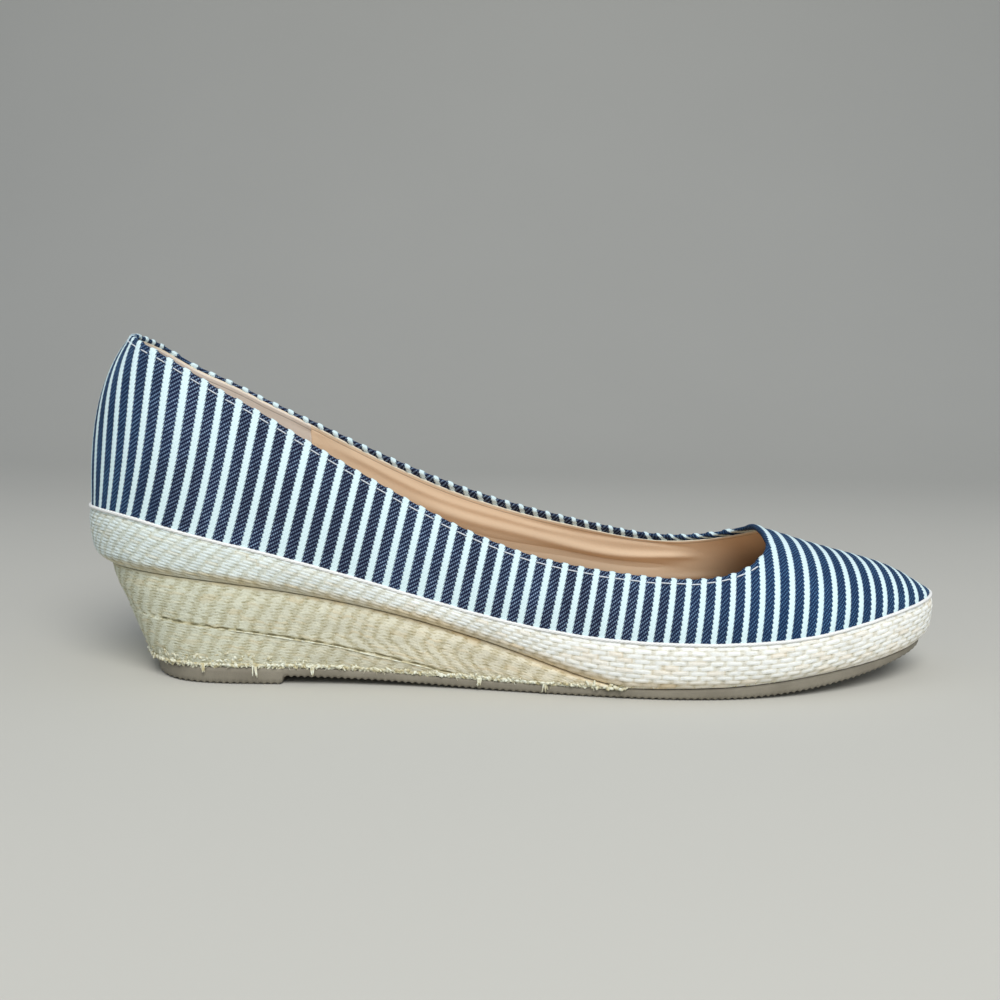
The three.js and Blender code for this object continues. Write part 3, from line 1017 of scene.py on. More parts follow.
def upper_rows(settings):
    """Rows of the cloth: up the outside, round the rim, down the facing, and down behind the lining.

    The outside dips in a bell curve at the back seam, and its pale stripes stand proud. The rim is
    half a circle from the outside's normal over the way up to the facing.
    """
    loop = even_loop(CLOTH_STEP)
    rim_up = share_for(loop, RIM)
    outer_up = np.linspace(0, 1, UPPER_ROWS)[:, None] * rim_up
    outer = skin(loop, outer_up, 0.0)
    normal = outward(outer)
    number = np.arange(loop.size)
    away = np.minimum(number, loop.size - number) * CLOTH_STEP
    seam = BACK_SEAM * bump(away, 0.0, BACK_SEAM_WIDTH) * (1 - smoothstep(outer_up, 0.9, 0.98))
    outer = outer - normal * seam[..., None]
    count = cloth_count(loop, outer)
    along = cloth_run(loop, outer)
    at_rim = 1 + 2.2 * smoothstep(outer_up, 0.93, 1.0)
    proud = settings.stripe_relief / MM * pale_share(count, settings.dark_share) * at_rim
    crown = outer[-1] - normal[-1] * RIM
    rise = unit(outer[-1] - outer[-3])
    turn = np.linspace(0, math.pi, RIM_ROWS)[1:, None, None]
    radius = RIM + proud[-1][None, :, None]
    rim = crown + radius * (np.cos(turn) * normal[-1] + np.sin(turn) * rise)
    width = facing_width(loop)
    drops = np.linspace(0, 1, 6)[1:, None]
    slope = RIM / np.maximum(1 - rim_up, 1e-6)
    inner_up = rim_up - drops * (width + 1.2) / slope
    inner_base = skin(loop, rim_up[None], FACING_DEPTH)[0]
    shift = (rim[-1] - inner_base) * np.maximum(0, 1 - drops * 0.7)[..., None]
    facing = skin(loop, inner_up, FACING_DEPTH) + shift
    hidden_up = np.linspace(1, 0, 8)[1:, None] * inner_up[-1]
    hidden = skin(loop, hidden_up, HIDDEN_DEPTH)
    outer = outer + normal * proud[..., None]
    points = np.concatenate([outer, rim, facing, hidden])
    beyond = run_up(points[UPPER_ROWS - 1 :])[1:]
    slope = (count[-1] - count[-6]) / run_up(outer[-6:])[-1]
    counts = np.concatenate([count, count[-1] + slope * np.minimum(beyond, RIM_COUNT_REACH)])
    return loop, points, counts, np.concatenate([along, beyond + along[-1]])


def make_upper(settings):
    loop, points, count, along = upper_rows(settings)
    rows = len(points)
    cloth = np.stack([-loop.sign * count, along], -1)
    faces = ring_faces(rows, loop.size, wrapped=True)
    add_piece(
        "upper_cloth", points, faces, denim(settings), "upper",
        maps={"cloth": (cloth, both_turns(loop))},
    )


STITCH_POINTS = 9
STITCH_SIDES = 6
STITCH_RADIUS = 0.2
STITCH_MAP = 3.3


def make_topstitch(settings):
    """Short thread arcs that cross each navy stripe a little below the collar edge.

    Each arc stands off the cloth by the square root of 1 less the fourth power of the way from
    its middle, and its thread thins towards both ends.
    """
    loop = even_loop(CLOTH_STEP)
    line = skin(loop, share_for(loop, settings.stitch_drop / MM)[None], 0.0)
    below = skin(loop, share_for(loop, settings.stitch_drop / MM + 0.5)[None], 0.0)
    normal = outward(np.concatenate([below, line]))[1]
    count = cloth_count(loop, line)[0]
    line = line[0]
    way = np.linspace(-1, 1, STITCH_POINTS)
    half = settings.stitch_length / MM / 2
    arc = np.sqrt(np.clip(1 - way**4, 0, 1)) * 0.34 - 0.2
    paths = []
    for side in loop.sides:
        run = run_up(line[side][:, None])[:, 0]
        numbers = np.arange(1, math.floor(count[side].max()))
        centre = np.interp(numbers, np.maximum.accumulate(count[side]), run)
        jitter = (scatter(numbers, 3.0) - 0.5) * 0.5
        spot = (centre + jitter)[:, None] + half * way
        place = resampled(spot, run, line[side])
        face = resampled(spot, run, normal[side])
        slack = np.zeros_like(place)
        slack[..., 2] = (scatter(numbers, 5.0)[:, None] - 0.5) * 0.3
        paths.append(place + face * arc[:, None] + slack)
    path = np.concatenate(paths)
    shape = path.shape[:2]
    radius = np.broadcast_to(STITCH_RADIUS * (1 - 0.4 * way**6), shape)
    points, faces = tube(path, radius, STITCH_SIDES)
    along = np.broadcast_to(np.linspace(0, STITCH_MAP, STITCH_POINTS), shape)
    add_piece(
        "topstitching", points, faces, thread_material("white_thread", settings.thread, 0.8),
        "upper", maps={"cord": (tube_map(along, STITCH_SIDES), None)},
    )


# ---------------------------------------------------------------- inside


SHEET_STEP = 0.95
SHEET_BACK_ROWS = 9
SHEET_EDGE_ROWS = 4


def sheet_rows(loop, top_drop, front_depth, back_depth, rows, folds):
    """A thin closed sheet on the inside: down its face, under, up its back and over its top edge.

    Its top edge is half a circle over the gap between face and back; `folds` lowers the face.
    """
    top = share_for(loop, RIM + top_drop, back_depth)
    up = np.linspace(1, 0, rows)[:, None] ** 1.1 * top
    face = skin(loop, up, front_depth + folds(up, loop))
    back = skin(loop, np.linspace(0, 1, SHEET_BACK_ROWS)[:, None] * top, back_depth)
    middle = (face[0] + back[-1]) / 2
    half = (face[0] - back[-1]) / 2
    rise = unit(face[0] - face[2])
    turn = np.linspace(math.pi, 0, SHEET_EDGE_ROWS + 2)[1:-1, None, None]
    size = np.linalg.norm(half, axis=-1)[..., None]
    over = middle + np.cos(turn) * half + np.sin(turn) * rise * size
    return np.concatenate([face, back, over])


LINING_ROWS = 52
GRIP_ROWS = 44
GRIP_FRONT = 59.5
GRIP_PROUD = 0.45
# Soft lengthwise ridges and troughs of the lining: x where each starts and ends, its share of the
# height, its width and its size
RIDGES = (
    (88, 200, 0.62, 0.07, 1.0), (75, 190, 0.44, 0.06, -0.9), (110, 205, 0.25, 0.07, 0.8),
    (60, 150, 0.80, 0.05, 0.5), (120, 200, 0.82, 0.04, -0.4), (30, 100, 0.5, 0.12, 0.5),
)
RIDGE_FADE = 18


def lining_folds(settings):
    """Depth of the lining's folds: a bell curve up the height for each ridge, faded at its ends.

    A wavy hem runs below the edge, and small tucks stand in front of the heel grip.
    """
    size = settings.fold / MM

    def folds(up, loop):
        place = loop.place[None, :]
        total = np.zeros(np.broadcast_shapes(up.shape, place.shape))
        for start, end, share, width, tall in RIDGES:
            fade = smoothstep(place, start, start + RIDGE_FADE)
            fade = fade * (1 - smoothstep(place, end - RIDGE_FADE, end))
            drift = share + 0.05 * wobble(place * loop.sign, share * 10, 90)
            total = total + tall * size * fade * bump(up, drift, width)
        hem = bump(up, 0.96, 0.03) * 0.12 * wobble(place * loop.sign, 4, 14)
        hem = hem - 0.35 * bump(place, GRIP_FRONT + 3.0, 1.6) * np.abs(wobble(up * 60, 8, 5.0))
        return (total + hem) * smoothstep(up, 0.0, 0.12)

    return folds


def sheet_map(loop, points, rows):
    """Map in millimetres: place round the shoe, and length down from the top edge."""
    down = run_up(points)
    total = down[rows - 1 : rows]
    down = np.where(down <= total, down, np.maximum(0.0, 2 * total - down))
    down[-SHEET_EDGE_ROWS:] = 0.0
    place = np.broadcast_to(loop.place * -loop.sign, down.shape)
    return np.stack([place, down], -1)


def make_lining(settings):
    loop = even_loop(SHEET_STEP)
    folds = lining_folds(settings)
    top_drop = facing_width(loop) - 0.2
    points = sheet_rows(loop, top_drop, LINING_DEPTH, LINING_BACK, LINING_ROWS, folds)
    faces = ring_faces(len(points), loop.size, wrapped=True)
    sheet = sheet_map(loop, points, LINING_ROWS)
    add_piece(
        "lining", points, faces, lining("tan_lining", settings.tan, settings.deep_shade_and_wear, settings.cut),
        "upper", maps={"sheet": (sheet, both_turns(loop))},
    )


def make_heel_grip(settings):
    """A second lining round the heel, with a raised front edge and puckers beside it.

    It is the same thin sheet as the lining, on the columns up to its front, with one face over
    each of its two open ends.
    """
    whole = even_loop(SHEET_STEP)
    keep = whole.place[whole.sides[0]]
    keep = np.append(keep[keep <= GRIP_FRONT], GRIP_FRONT)
    loop = Loop(keep, keep, blunt=True)

    def puckers(up, loop):
        near = np.exp(-((GRIP_FRONT - loop.place) / 5.0))[None, :]
        wave = wobble(up * 60, 2, 9.0)
        soft = 0.12 * wobble(loop.place * loop.sign + up * 20, 1, 23)
        return near * (0.22 * wave + 0.25) + soft * smoothstep(up, 0.1, 0.5)

    top_drop = facing_width(loop) - 0.15
    face_depth = LINING_DEPTH + GRIP_PROUD
    points = sheet_rows(loop, top_drop, face_depth, LINING_DEPTH + 0.02, GRIP_ROWS, puckers)
    faces = ring_faces(len(points), loop.size, wrapped=True)
    gap = np.isin(faces % loop.size, (loop.turn, loop.turn + 1)).all(axis=1)
    ring = np.arange(len(points))[None] * loop.size
    every = PolygonList(faces[~gap], ring[:, ::-1] + loop.turn, ring + loop.turn + 1)
    beige = lining("beige_grip", settings.grip, settings.grip, settings.grip)
    add_piece(
        "heel_grip", points, every, beige, "upper",
        maps={"sheet": (sheet_map(loop, points, GRIP_ROWS), None)},
    )


SOCK_GAP = 0.75
SOCK_TOE = 12.0
SOCK_STEP = 1.4
SOCK_COLUMNS = 25


def make_sock(settings):
    """Insole: sections across, crowned at the edges and dished under heel and ball."""
    inset = UPPER_INSET + WALL + SOCK_GAP
    loop = even_loop(SOCK_STEP)
    x = inset + (LENGTH - SOCK_TOE - inset) * loop.place[loop.sides[0]] / LENGTH
    near, far = (edge(sign, x, inset, inset, SOCK_TOE) for sign in (LATERAL, MEDIAL))
    across = (1 - np.cos(np.linspace(0, math.pi, SOCK_COLUMNS))) / 2
    y = near[:, None] + (far - near)[:, None] * across
    round_off = (4 * across * (1 - across)) ** 0.25
    taper = np.clip((far - near) / 6, 0, 1)[:, None] ** 0.5
    dish = 0.55 * bump(x, 38, 26) + 0.4 * bump(x, 165, 24)
    hollow = dish[:, None] * (4 * across * (1 - across)) ** 1.5
    base = (feather(x) + GAP)[:, None]
    top = base + SOCK * round_off * taper - hollow * taper
    upper_half = np.stack([np.broadcast_to(x[:, None], y.shape), y, top], -1)
    lower_half = np.stack([np.broadcast_to(x[:, None], y.shape), y, base + 0 * y], -1)
    section = np.concatenate([upper_half, lower_half[:, -2:0:-1]], axis=1)
    points, faces = pinched(section)
    add_piece("sock", points, faces, sock_material(settings), "insole")


def pinched(section):
    """Rings one after another along the foot, closed with a point at each end."""
    ends = section[[0, -1]].mean(axis=1, keepdims=True)
    inner = section[1:-1]
    rows, size = inner.shape[:2]
    points = np.concatenate([inner.reshape(-1, 3), ends.reshape(-1, 3)])
    quads = ring_faces(rows, size)[:, ::-1]
    i = np.arange(size)
    after = (i + 1) % size
    heel = np.stack([np.full(size, rows * size), i, after], -1)
    last = (rows - 1) * size
    toe = np.stack([np.full(size, rows * size + 1), last + after, last + i], -1)
    return points, PolygonList(quads, heel, toe)


# ---------------------------------------------------------------- jute


MEAN_PILLOW = 0.62
NUDGE = 1e-6


def strand_relief(phase, row_place, cover, weft):
    """Pillow of each strand: round across its row, dipping under at both ends; weft in the gaps.

    `cover` is the strand's share of the pitch and `weft` the height of what shows between.
    Returns the height from 0 to 1 and a repeatable random number for the strand.
    """
    row = np.floor(row_place)
    number = np.floor(phase)
    luck = scatter(number, row)
    stray = (scatter(number, row, 2.0) - 0.5) * 0.3
    along = ((phase - number) * 2 - 1 + stray) / (cover * (0.84 + 0.32 * scatter(number, row, 4.0)))
    tilt = (scatter(number, row, 6.0) - 0.5) * 0.5 * np.clip(along, -1, 1)
    across = np.clip((row_place - row) * 2 - 1 + tilt, -1, 1)
    body = 0.22 + 0.78 * np.sqrt(np.clip(1 - across**2, 0, 1))
    ends = np.clip(1 - np.abs(along) ** 3, 0, 1) ** 0.55
    return np.maximum(body * ends * (0.7 + 0.3 * luck), weft * body), luck


BAND_ROWS = 17
BAND_PER_ROW = 4
BAND_PER_STRAND = 8
BAND_STRAND = 3.7
WEDGE_TIP = 157.6
WEDGE_HEEL = 17.6
WEDGE_ROWS = 34
WEDGE_PER_ROW = 3
WEDGE_PER_STRAND = 9
WEDGE_STRAND = 4.75
WEDGE_PITCH = 0.85
LAYER_EDGE = 13.4


def band_strand(x):
    """Length of one strand of the band with its gap, in millimetres."""
    return BAND_STRAND + 1.25 * smoothstep(x, 105, 160)


def band_pitch(x):
    """Height of one row of the band."""
    return 0.95 + 0.43 * smoothstep(x, 108, 158)


def band_point(loop, drop):
    """Side of the platform, `drop` mm below its top edge; past the bottom it turns in, level."""
    share = loop.place / LENGTH
    height = feather(loop.place) - platform_under(loop.place) - GAP / 2
    up = 1 - np.clip(drop / height, 0, 1)
    past = np.maximum(0, drop - height)
    before = np.maximum(0, -drop)
    inset = band_inset(up) + (past + before)
    heel = band_rake(up) + (past + before)
    toe = BAND_TOE_SHARE * band_inset(up) + (past + before)
    x = heel + (LENGTH - toe - heel) * share
    bottom = platform_under(x) + GAP / 2
    z = bottom + (feather(x) - bottom) * up
    return np.stack([x, edge(loop.sign, x, inset, heel, toe), z], -1), height, past


def wedge_point(loop, drop):
    """Side of the wedge, `drop` mm down the slope from its seam; past the bottom it turns in."""
    share = loop.place / WEDGE_TIP
    tall = np.maximum(wedge_seam(loop.place) - rubber_top(loop.place) - GAP, 0.1)
    slope = np.hypot(tall, 12.5 * np.clip(1 - loop.place / 40, 0, 1))
    up = 1 - np.clip(drop / slope, 0, 1)
    past = np.maximum(0, drop - slope)
    before = np.maximum(0, -drop)
    inset = wedge_inset(up) + 0.5 * past + before
    heel = wedge_rake(up) + 0.5 * past + before
    x = heel + (WEDGE_TIP - heel) * share
    bottom = rubber_top(x) + GAP / 2
    top = np.maximum(wedge_seam(x) - GAP / 2, bottom + 0.05)
    z = bottom + (top - bottom) * up
    return np.stack([x, edge(loop.sign, x, inset, heel, 0.0), z], -1), slope, past


def with_hidden_rows(rows, first, second):
    """Rows with two more above them, that close the body behind the seam."""
    return np.concatenate([[[first], [second]] * np.ones(rows.shape[1]), rows])


def braided(name, loop, points, strand, drop, pattern, relief, material, node):
    """Closed body whose side is carved into strands; flat caps close it above and below.

    Each point moves out by `relief` times the height of the strand there over the mean one.
    """
    height, luck, zone = pattern
    normal = -outward(points)
    points = points + normal * (relief * (height - MEAN_PILLOW))[..., None]
    faces = ring_faces(len(points), loop.size)[:, ::-1]
    base = (len(points) - 1) * loop.size
    every = PolygonList(
        faces, across_faces(0, loop.size, True), across_faces(base, loop.size, False)
    )
    tape = np.stack([np.broadcast_to(loop.across * strand, drop.shape), drop], -1)
    add_piece(
        name, points, every, material, node,
        maps={"tape": (tape, both_turns(loop))},
        colours={"braid": np.stack([height, luck, zone], -1)},
    )


def make_band(settings):
    """Band of the platform: rows of strands, each shifted on the last by a part of a strand."""
    loop = loop_of(band_strand, BAND_PER_STRAND)
    row_place = np.arange(BAND_ROWS * BAND_PER_ROW + 1)[:, None] / BAND_PER_ROW
    drop = with_hidden_rows(row_place * band_pitch(loop.place), -3.0, -1.2)
    row_place = with_hidden_rows(row_place, -1.9, -0.8) + NUDGE
    points, height, past = band_point(loop, drop)
    shift = 0.25 + 0.25 * smoothstep(loop.place, 105, 150)
    sway = 0.044 * wobble(loop.across, 1, 6.0) + 0.024 * wobble(loop.across, 5, 2.3)
    phase = loop.across + np.floor(row_place) * shift + sway
    cover = 0.74 + 0.18 * smoothstep(loop.place, 100, 160)
    weft = 0.32 - 0.06 * smoothstep(loop.place, 90, 150)
    pillow, luck = strand_relief(phase, row_place, cover, weft)
    zone = smoothstep(drop, height - 3.4, height - 1.4)
    zone = zone * (1 - 0.6 * smoothstep(loop.place, 140, 200))
    carved = 0.25 + 0.75 * (1 - smoothstep(drop, height - 0.8, height - 0.05))
    carved = np.where((drop < 0) | (past > 0), 0.0, carved)
    pillow = MEAN_PILLOW + (pillow - MEAN_PILLOW) * carved
    colours = (settings.band_light, settings.band_weft, settings.band_painted_shade)
    braided(
        "jute_band", loop, points, BAND_STRAND, drop, (pillow, luck, zone),
        settings.band_relief / MM, braid("band_jute", *colours, settings), "midsole",
    )


def chevron_axis(loop):
    """Distance from the seam at which the wedge's diagonals turn back."""
    return 6.4 + 5.4 * (1 - smoothstep(loop.place, 62, 92))


def layer_edge(strands):
    """Drop of the wavy edge of the lower turn of jute tape, by the number of strands along."""
    return LAYER_EDGE + 0.35 * wobble(strands, 2, 9.0)


def make_wedge(settings):
    """Side of the wedge: diagonals that turn back at an axis, and one more turn of tape over them.

    The strands' rows are creased where the diagonals turn and wave up and down, and a gully runs
    above the edge of the lower turn.
    """
    loop = loop_of(
        lambda x: np.full(np.shape(x), WEDGE_STRAND), WEDGE_PER_STRAND, WEDGE_TIP, True
    )
    row_place = np.arange(WEDGE_ROWS * WEDGE_PER_ROW + 1)[:, None] / WEDGE_PER_ROW
    drop = with_hidden_rows(row_place * WEDGE_PITCH * np.ones(loop.size), -3.0, -1.0)
    row_place = with_hidden_rows(row_place, -3.5, -1.2)
    points, slope, past = wedge_point(loop, drop)
    lower = smoothstep(drop - layer_edge(loop.across), -0.15, 0.15)
    row = np.floor(row_place + NUDGE)
    axis = chevron_axis(loop) / WEDGE_PITCH
    zig = -np.abs(row - axis) * (1 - lower) + lower * (row + 2.5)
    drift = 0.1 * wobble(loop.across, 6, 5.0) + 0.05 * wobble(row, 4, 3.0)
    phase = loop.across + zig * 0.168 + drift + 40.0
    wave = 0.45 * wobble(loop.across, 9, 2.1) + 0.3 * wobble(loop.across, 3, 0.9)
    pillow, luck = strand_relief(phase, np.maximum(row_place + wave, 0) + NUDGE, 0.7, 0.5)
    # The crease and the gully lower the strands' height: they sink in the relief, and the braid's
    # colour also paints them darker, as painted shade.
    crease = bump(np.mod(phase, 1.0), 0.0, 0.06) * bump(row - axis, 0.0, 3.0) * (1 - lower)
    pillow = pillow * (1 - 0.5 * crease)
    hem = np.minimum(0.7, 0.3 * slope)
    fade = smoothstep(drop, 0.0, hem) * (1 - smoothstep(drop, slope - 0.5, slope - 0.1))
    flat = (drop < 0) | (past > 0)
    gully = bump(drop, LAYER_EDGE - 0.35, 0.3) * smoothstep(loop.place, 12, 20) * 0.55
    pillow = MEAN_PILLOW + np.where(flat, 0.0, (pillow - MEAN_PILLOW) * fade - gully)
    points = points - outward(points) * (0.3 * lower * ~flat)[..., None]
    zone = 0.7 * (1 - smoothstep(drop, 0.1, 1.2)) * smoothstep(slope, 0.8, 4)
    colours = (settings.wedge_light, settings.wedge_weft, settings.wedge_painted_shade)
    braided(
        "jute_wedge", loop, points, WEDGE_STRAND, drop, (pillow, luck, zone),
        settings.wedge_relief / MM, braid("wedge_jute", *colours, settings), "wedge",
    )


YARN_STEP = 0.5
YARN_POINTS = 130
YARN_START = 36
YARN_END = 99
YARN_SIDES = 6
YARN_PROUD = 0.42


def make_selvage(settings):
    """The lower tape's edge yarn, showing along the wedge in front of the heel, on both sides."""
    loop = even_loop(YARN_STEP, WEDGE_TIP, True)
    drop = layer_edge(loop.across * YARN_STEP / WEDGE_STRAND) + np.array([[0.3], [0.0], [-0.3]])
    points = wedge_point(loop, drop)[0]
    line = points[1] + outward(points)[1] * YARN_PROUD
    way = np.linspace(0, 1, YARN_POINTS)
    paths = []
    for side in loop.sides:
        inside = (loop.place[side] > YARN_START) & (loop.place[side] < YARN_END)
        paths.append(resampled(way, np.linspace(0, 1, inside.sum()), line[side][inside]))
    thick = 0.15 + 0.07 * np.abs(wobble(way * 90, 1, 4.0))
    thick = thick * (0.3 + 0.7 * smoothstep(way, 0, 0.08) * (1 - smoothstep(way, 0.95, 1)))
    points, faces = tube(np.stack(paths), np.stack([thick, thick]), YARN_SIDES)
    add_piece("tape_edge", points, faces, fibre_material(settings), "wedge")


CORD_STEP = 0.3
CORD_KNOT = 1.35
CORD_SIDES = 8


def make_edge_cord(settings):
    """White cord laid along the platform's edge, knobbly where its stitches pull it in.

    Its radius swells with the size of a sine between one stitch and the next.
    """
    loop = even_loop(CORD_STEP)
    x = 0.2 + (LENGTH - 0.9) * loop.place / LENGTH
    y = edge(loop.sign, x, 0.75, 0.2, 0.7)
    run = np.arange(loop.size) * CORD_STEP
    knob = np.abs(np.sin(run * math.pi / CORD_KNOT)) ** 0.6
    radius = settings.cord_radius / MM * (0.84 + 0.22 * knob)
    z = feather(x) + 0.12 + 0.07 * wobble(run, 3, 17)
    path = np.stack([x, y, z], -1)[None]
    points, faces = tube(path, radius[None], CORD_SIDES, closed=True)
    material = thread_material("white_edge_cord", settings.cord_colour, CORD_KNOT)
    add_piece(
        "edge_cord", points, faces, material, "midsole",
        maps={"cord": (tube_map(run, CORD_SIDES), None)},
    )


# ---------------------------------------------------------------- rubber


# Inset at the sides, at the heel and at the toe of the sole's edge and of the face it stands on
SOLE_RIM = (2.2, LUG_BACK, 3.6)
SOLE_FOOT = (2.9, LUG_BACK + 0.7, 4.6)
SOLE_STEP = 0.3
SOLE_COLUMNS = 31
SOLE_BEVEL = 0.55
SOLE_ROUNDED = 8


def make_outsole(settings):
    """Rubber sole: sections across with a bevelled edge, and fine ridges that reach the edge.

    The ridges are a raised cosine along the sole, lower in a strip just inside its edge.
    """
    half = even_loop(SOLE_STEP)
    last = LENGTH - SOLE_RIM[2]
    x_rim = LUG_BACK + half.place[half.sides[0]] * (last - LUG_BACK) / LENGTH
    at_end = np.clip((x_rim - LUG_BACK) / SOLE_ROUNDED, 0, 1)
    at_end = at_end * np.clip((last - x_rim) / SOLE_ROUNDED, 0, 1)
    x_foot = x_rim + (1 - at_end) * np.where(x_rim < LENGTH / 2, 0.7, -1.0)
    ridge = settings.ridge / MM
    pitch = settings.ridge_pitch / MM
    groove = ridge * (0.5 - 0.5 * np.cos(TAU * x_rim / pitch)) ** 0.7
    across = np.linspace(0, 1, SOLE_COLUMNS)
    near, far = (edge(sign, x_foot, *SOLE_FOOT) for sign in (LATERAL, MEDIAL))
    y_foot = near[:, None] + (far - near)[:, None] * across
    border = np.minimum(across, 1 - across)[None] * np.abs(far - near)[:, None]
    strip = smoothstep(border, 1.2, 2.2) * (1 - smoothstep(border, 2.6, 3.4))
    z_foot = rubber_under(x_foot)[:, None] + groove[:, None] * (1 - 0.5 * strip)
    bottom = np.stack([np.broadcast_to(x_foot[:, None], y_foot.shape), y_foot, z_foot], -1)
    sides = []
    for sign in (MEDIAL, LATERAL):
        y = edge(sign, x_rim, *SOLE_RIM)
        low = rubber_under(x_rim) + SOLE_BEVEL
        high = rubber_top(x_rim) - GAP / 2
        steps = [np.stack([x_rim, y, low + groove * 0.6], -1)]
        for part in (0.35, 0.7, 1.0):
            bulge = 0.12 * math.sin(part * math.pi) * sign
            steps.append(np.stack([x_rim, y + bulge, low + (high - low) * part], -1))
        sides.append(np.stack(steps, 1))
    section = np.concatenate([bottom, sides[0], sides[1][:, ::-1]], axis=1)
    wear = np.zeros(section.shape)
    height = section[..., 2] - rubber_under(section[..., 0])
    wear[..., 0] = 1 - smoothstep(height, 0.1, 0.9)
    points, faces = pinched(section[:, ::-1])
    ends = np.zeros((2, 3))
    flat = np.concatenate([wear[:, ::-1][1:-1].reshape(-1, 3), ends])
    add_piece(
        "rubber_sole", points, faces, rubber(settings), "outsole",
        colours={"wear": flat},
    )


# ---------------------------------------------------------------- loose jute


FIBRE_POINTS = 5
FIBRE_SIDES = 6
# Loose ends along the lower edge: spacing, lengths, radii, spread of their directions, how far
# they lie along the edge, how far they hang
FRINGE = (
    (0.6, (0.6, 1.2), (0.32, 0.52), 1.2, 1.0, 0.25),
    (0.9, (0.6, 1.1), (0.22, 0.36), 0.6, 0.6, 0.9),
    (3.1, (0.9, 1.8), (0.05, 0.08), 0.9, 0.5, 1.0),
)
FRINGE_FRONT = 150
LUMP_STEP = 0.3
TUFTS = (40.0, 54.5, 70.8, 117.9, 136.0)
TUFT_FIBRES = 4


def strand_path(root, ahead, sag, length):
    """Short curved strands: straight along `ahead`, bending by `sag` as the square of the way."""
    way = np.linspace(0, 1, FIBRE_POINTS)[None, :, None]
    reach = length[:, None, None]
    return root[:, None] + ahead[:, None] * way * reach + sag[:, None] * way**2 * reach


def fringe_root(loop):
    """Places along the lower edge of the jute, and the way out from the shoe at each."""
    on_wedge = loop.place < FRINGE_FRONT
    drawn_in = WEDGE_HEEL + (WEDGE_TIP - WEDGE_HEEL) * loop.place / WEDGE_TIP
    x = np.where(on_wedge, drawn_in, loop.place)
    inset = np.where(on_wedge, 2.3, 2.1)
    heel = np.where(on_wedge, WEDGE_HEEL, 4.5)
    y = edge(loop.sign, x, inset, heel, 2.6)
    root = np.stack([x, y, rubber_top(x) + 0.55], -1)
    side = np.roll(root, -1, axis=0) - np.roll(root, 1, axis=0)
    normal = unit(np.stack([side[:, 1], -side[:, 0], np.zeros(loop.size)], -1))
    return root, normal, on_wedge


def loose_ends(rng, pitch, lengths, radii, spread, level, down):
    """One kind of loose end, `pitch` mm apart: roots, directions, lengths and radii."""
    loop = even_loop(pitch)
    root, normal, on_wedge = fringe_root(loop)
    amount = loop.size
    side = np.stack([-normal[:, 1], normal[:, 0], 0 * normal[:, 0]], -1)
    root = root + rng.normal(0, 0.1, (amount, 3)) + [0, 0, 0.3]
    reach = side * (rng.choice([-1, 1], amount) * level)[:, None] - [0, 0, down]
    ahead = unit(reach + normal * 0.22 + rng.normal(0, spread, (amount, 3)) * 0.3)
    length = rng.uniform(*lengths, amount) * np.where(on_wedge, 1.0, 0.5)
    length = length * (1 - 0.9 * smoothstep(loop.place, 200, 225))
    thick = rng.uniform(*radii, amount) * np.where(on_wedge, 1.0, 0.6)
    return root, ahead, length, thick


def lumps(rng):
    """Short thick ends lying in the wedge's side just above its lower edge, most at the heel."""
    loop = even_loop(LUMP_STEP, WEDGE_TIP, True)
    slope = wedge_point(loop, np.zeros((1, loop.size)))[1]
    band = 3.3 * (1 - smoothstep(loop.place, 40, 85)) + 0.7
    rise = rng.uniform(0, 1, loop.size) ** 1.7 * np.minimum(band, 0.6 * slope)
    spots = wedge_point(loop, np.stack([slope - rise, slope - rise - 0.4]))[0]
    normal = outward(spots)[0]
    up = unit(spots[1] - spots[0])
    side = np.cross(up, normal)
    turn = rng.uniform(0, TAU, loop.size)[:, None]
    ahead = unit(side * np.cos(turn) + up * np.sin(turn) * 0.6 + normal * 0.12)
    length = rng.uniform(0.8, 1.7, loop.size)
    return spots[0] - normal * 0.05, ahead, length, rng.uniform(0.25, 0.5, loop.size)


def tufts(rng, sign):
    """Long tufts of a few fibres each, hanging over the rubber on one side."""
    amount = len(TUFTS)
    every = amount * TUFT_FIBRES
    spot = np.repeat(TUFTS, TUFT_FIBRES) + np.tile(np.linspace(-0.42, 0.42, TUFT_FIBRES), amount)
    y = edge(sign, spot, 2.0, WEDGE_HEEL, 2.0) + sign * 0.15
    root = np.stack([spot, y, rubber_top(spot) + 0.7], -1) + rng.normal(0, 0.05, (every, 3))
    lean = np.repeat(rng.normal(0, 0.22, amount), TUFT_FIBRES) + rng.normal(0, 0.05, every)
    ahead = unit(np.stack([lean, np.full(every, sign * 0.2), -np.ones(every)], -1))
    length = np.repeat(rng.uniform(1.9, 2.7, amount), TUFT_FIBRES)
    length = length + rng.uniform(-0.2, 0.2, every)
    return root, ahead, length, rng.uniform(0.19, 0.24, every)


def make_fringe(settings):
    """Frayed lower edge of the jute: ends side by side, thin hairs, lumps, and a few long tufts."""
    rng = np.random.default_rng(7)
    parts = [loose_ends(rng, *kind) for kind in FRINGE]
    parts.append(lumps(rng))
    parts += [tufts(rng, sign) for sign in (LATERAL, MEDIAL)]
    root, ahead, length, thick = (np.concatenate(values) for values in zip(*parts))
    sag = rng.normal(0, 0.14, (len(root), 3))
    path = strand_path(root, ahead, sag, length)
    radius = thick[:, None] * (1 - 0.4 * np.linspace(0, 1, FIBRE_POINTS) ** 4)
    points, faces = tube(path, radius, FIBRE_SIDES)
    add_piece("frayed_edge", points, faces, fibre_material(settings), "wedge")


# ---------------------------------------------------------------- stage


FLOOR_HALF = 2.5
FLOOR_FLAT = 0.7
FLOOR_BEND = 0.8
FLOOR_WALL = 2.6
LIGHT_SIZE = 0.9
CAMERA_PLACE = (-0.0057, -0.3156, 0.0849)
CAMERA_DOWN = 6.25
CAMERA_LEFT = -0.15
CAMERA_ROLL = 0.86


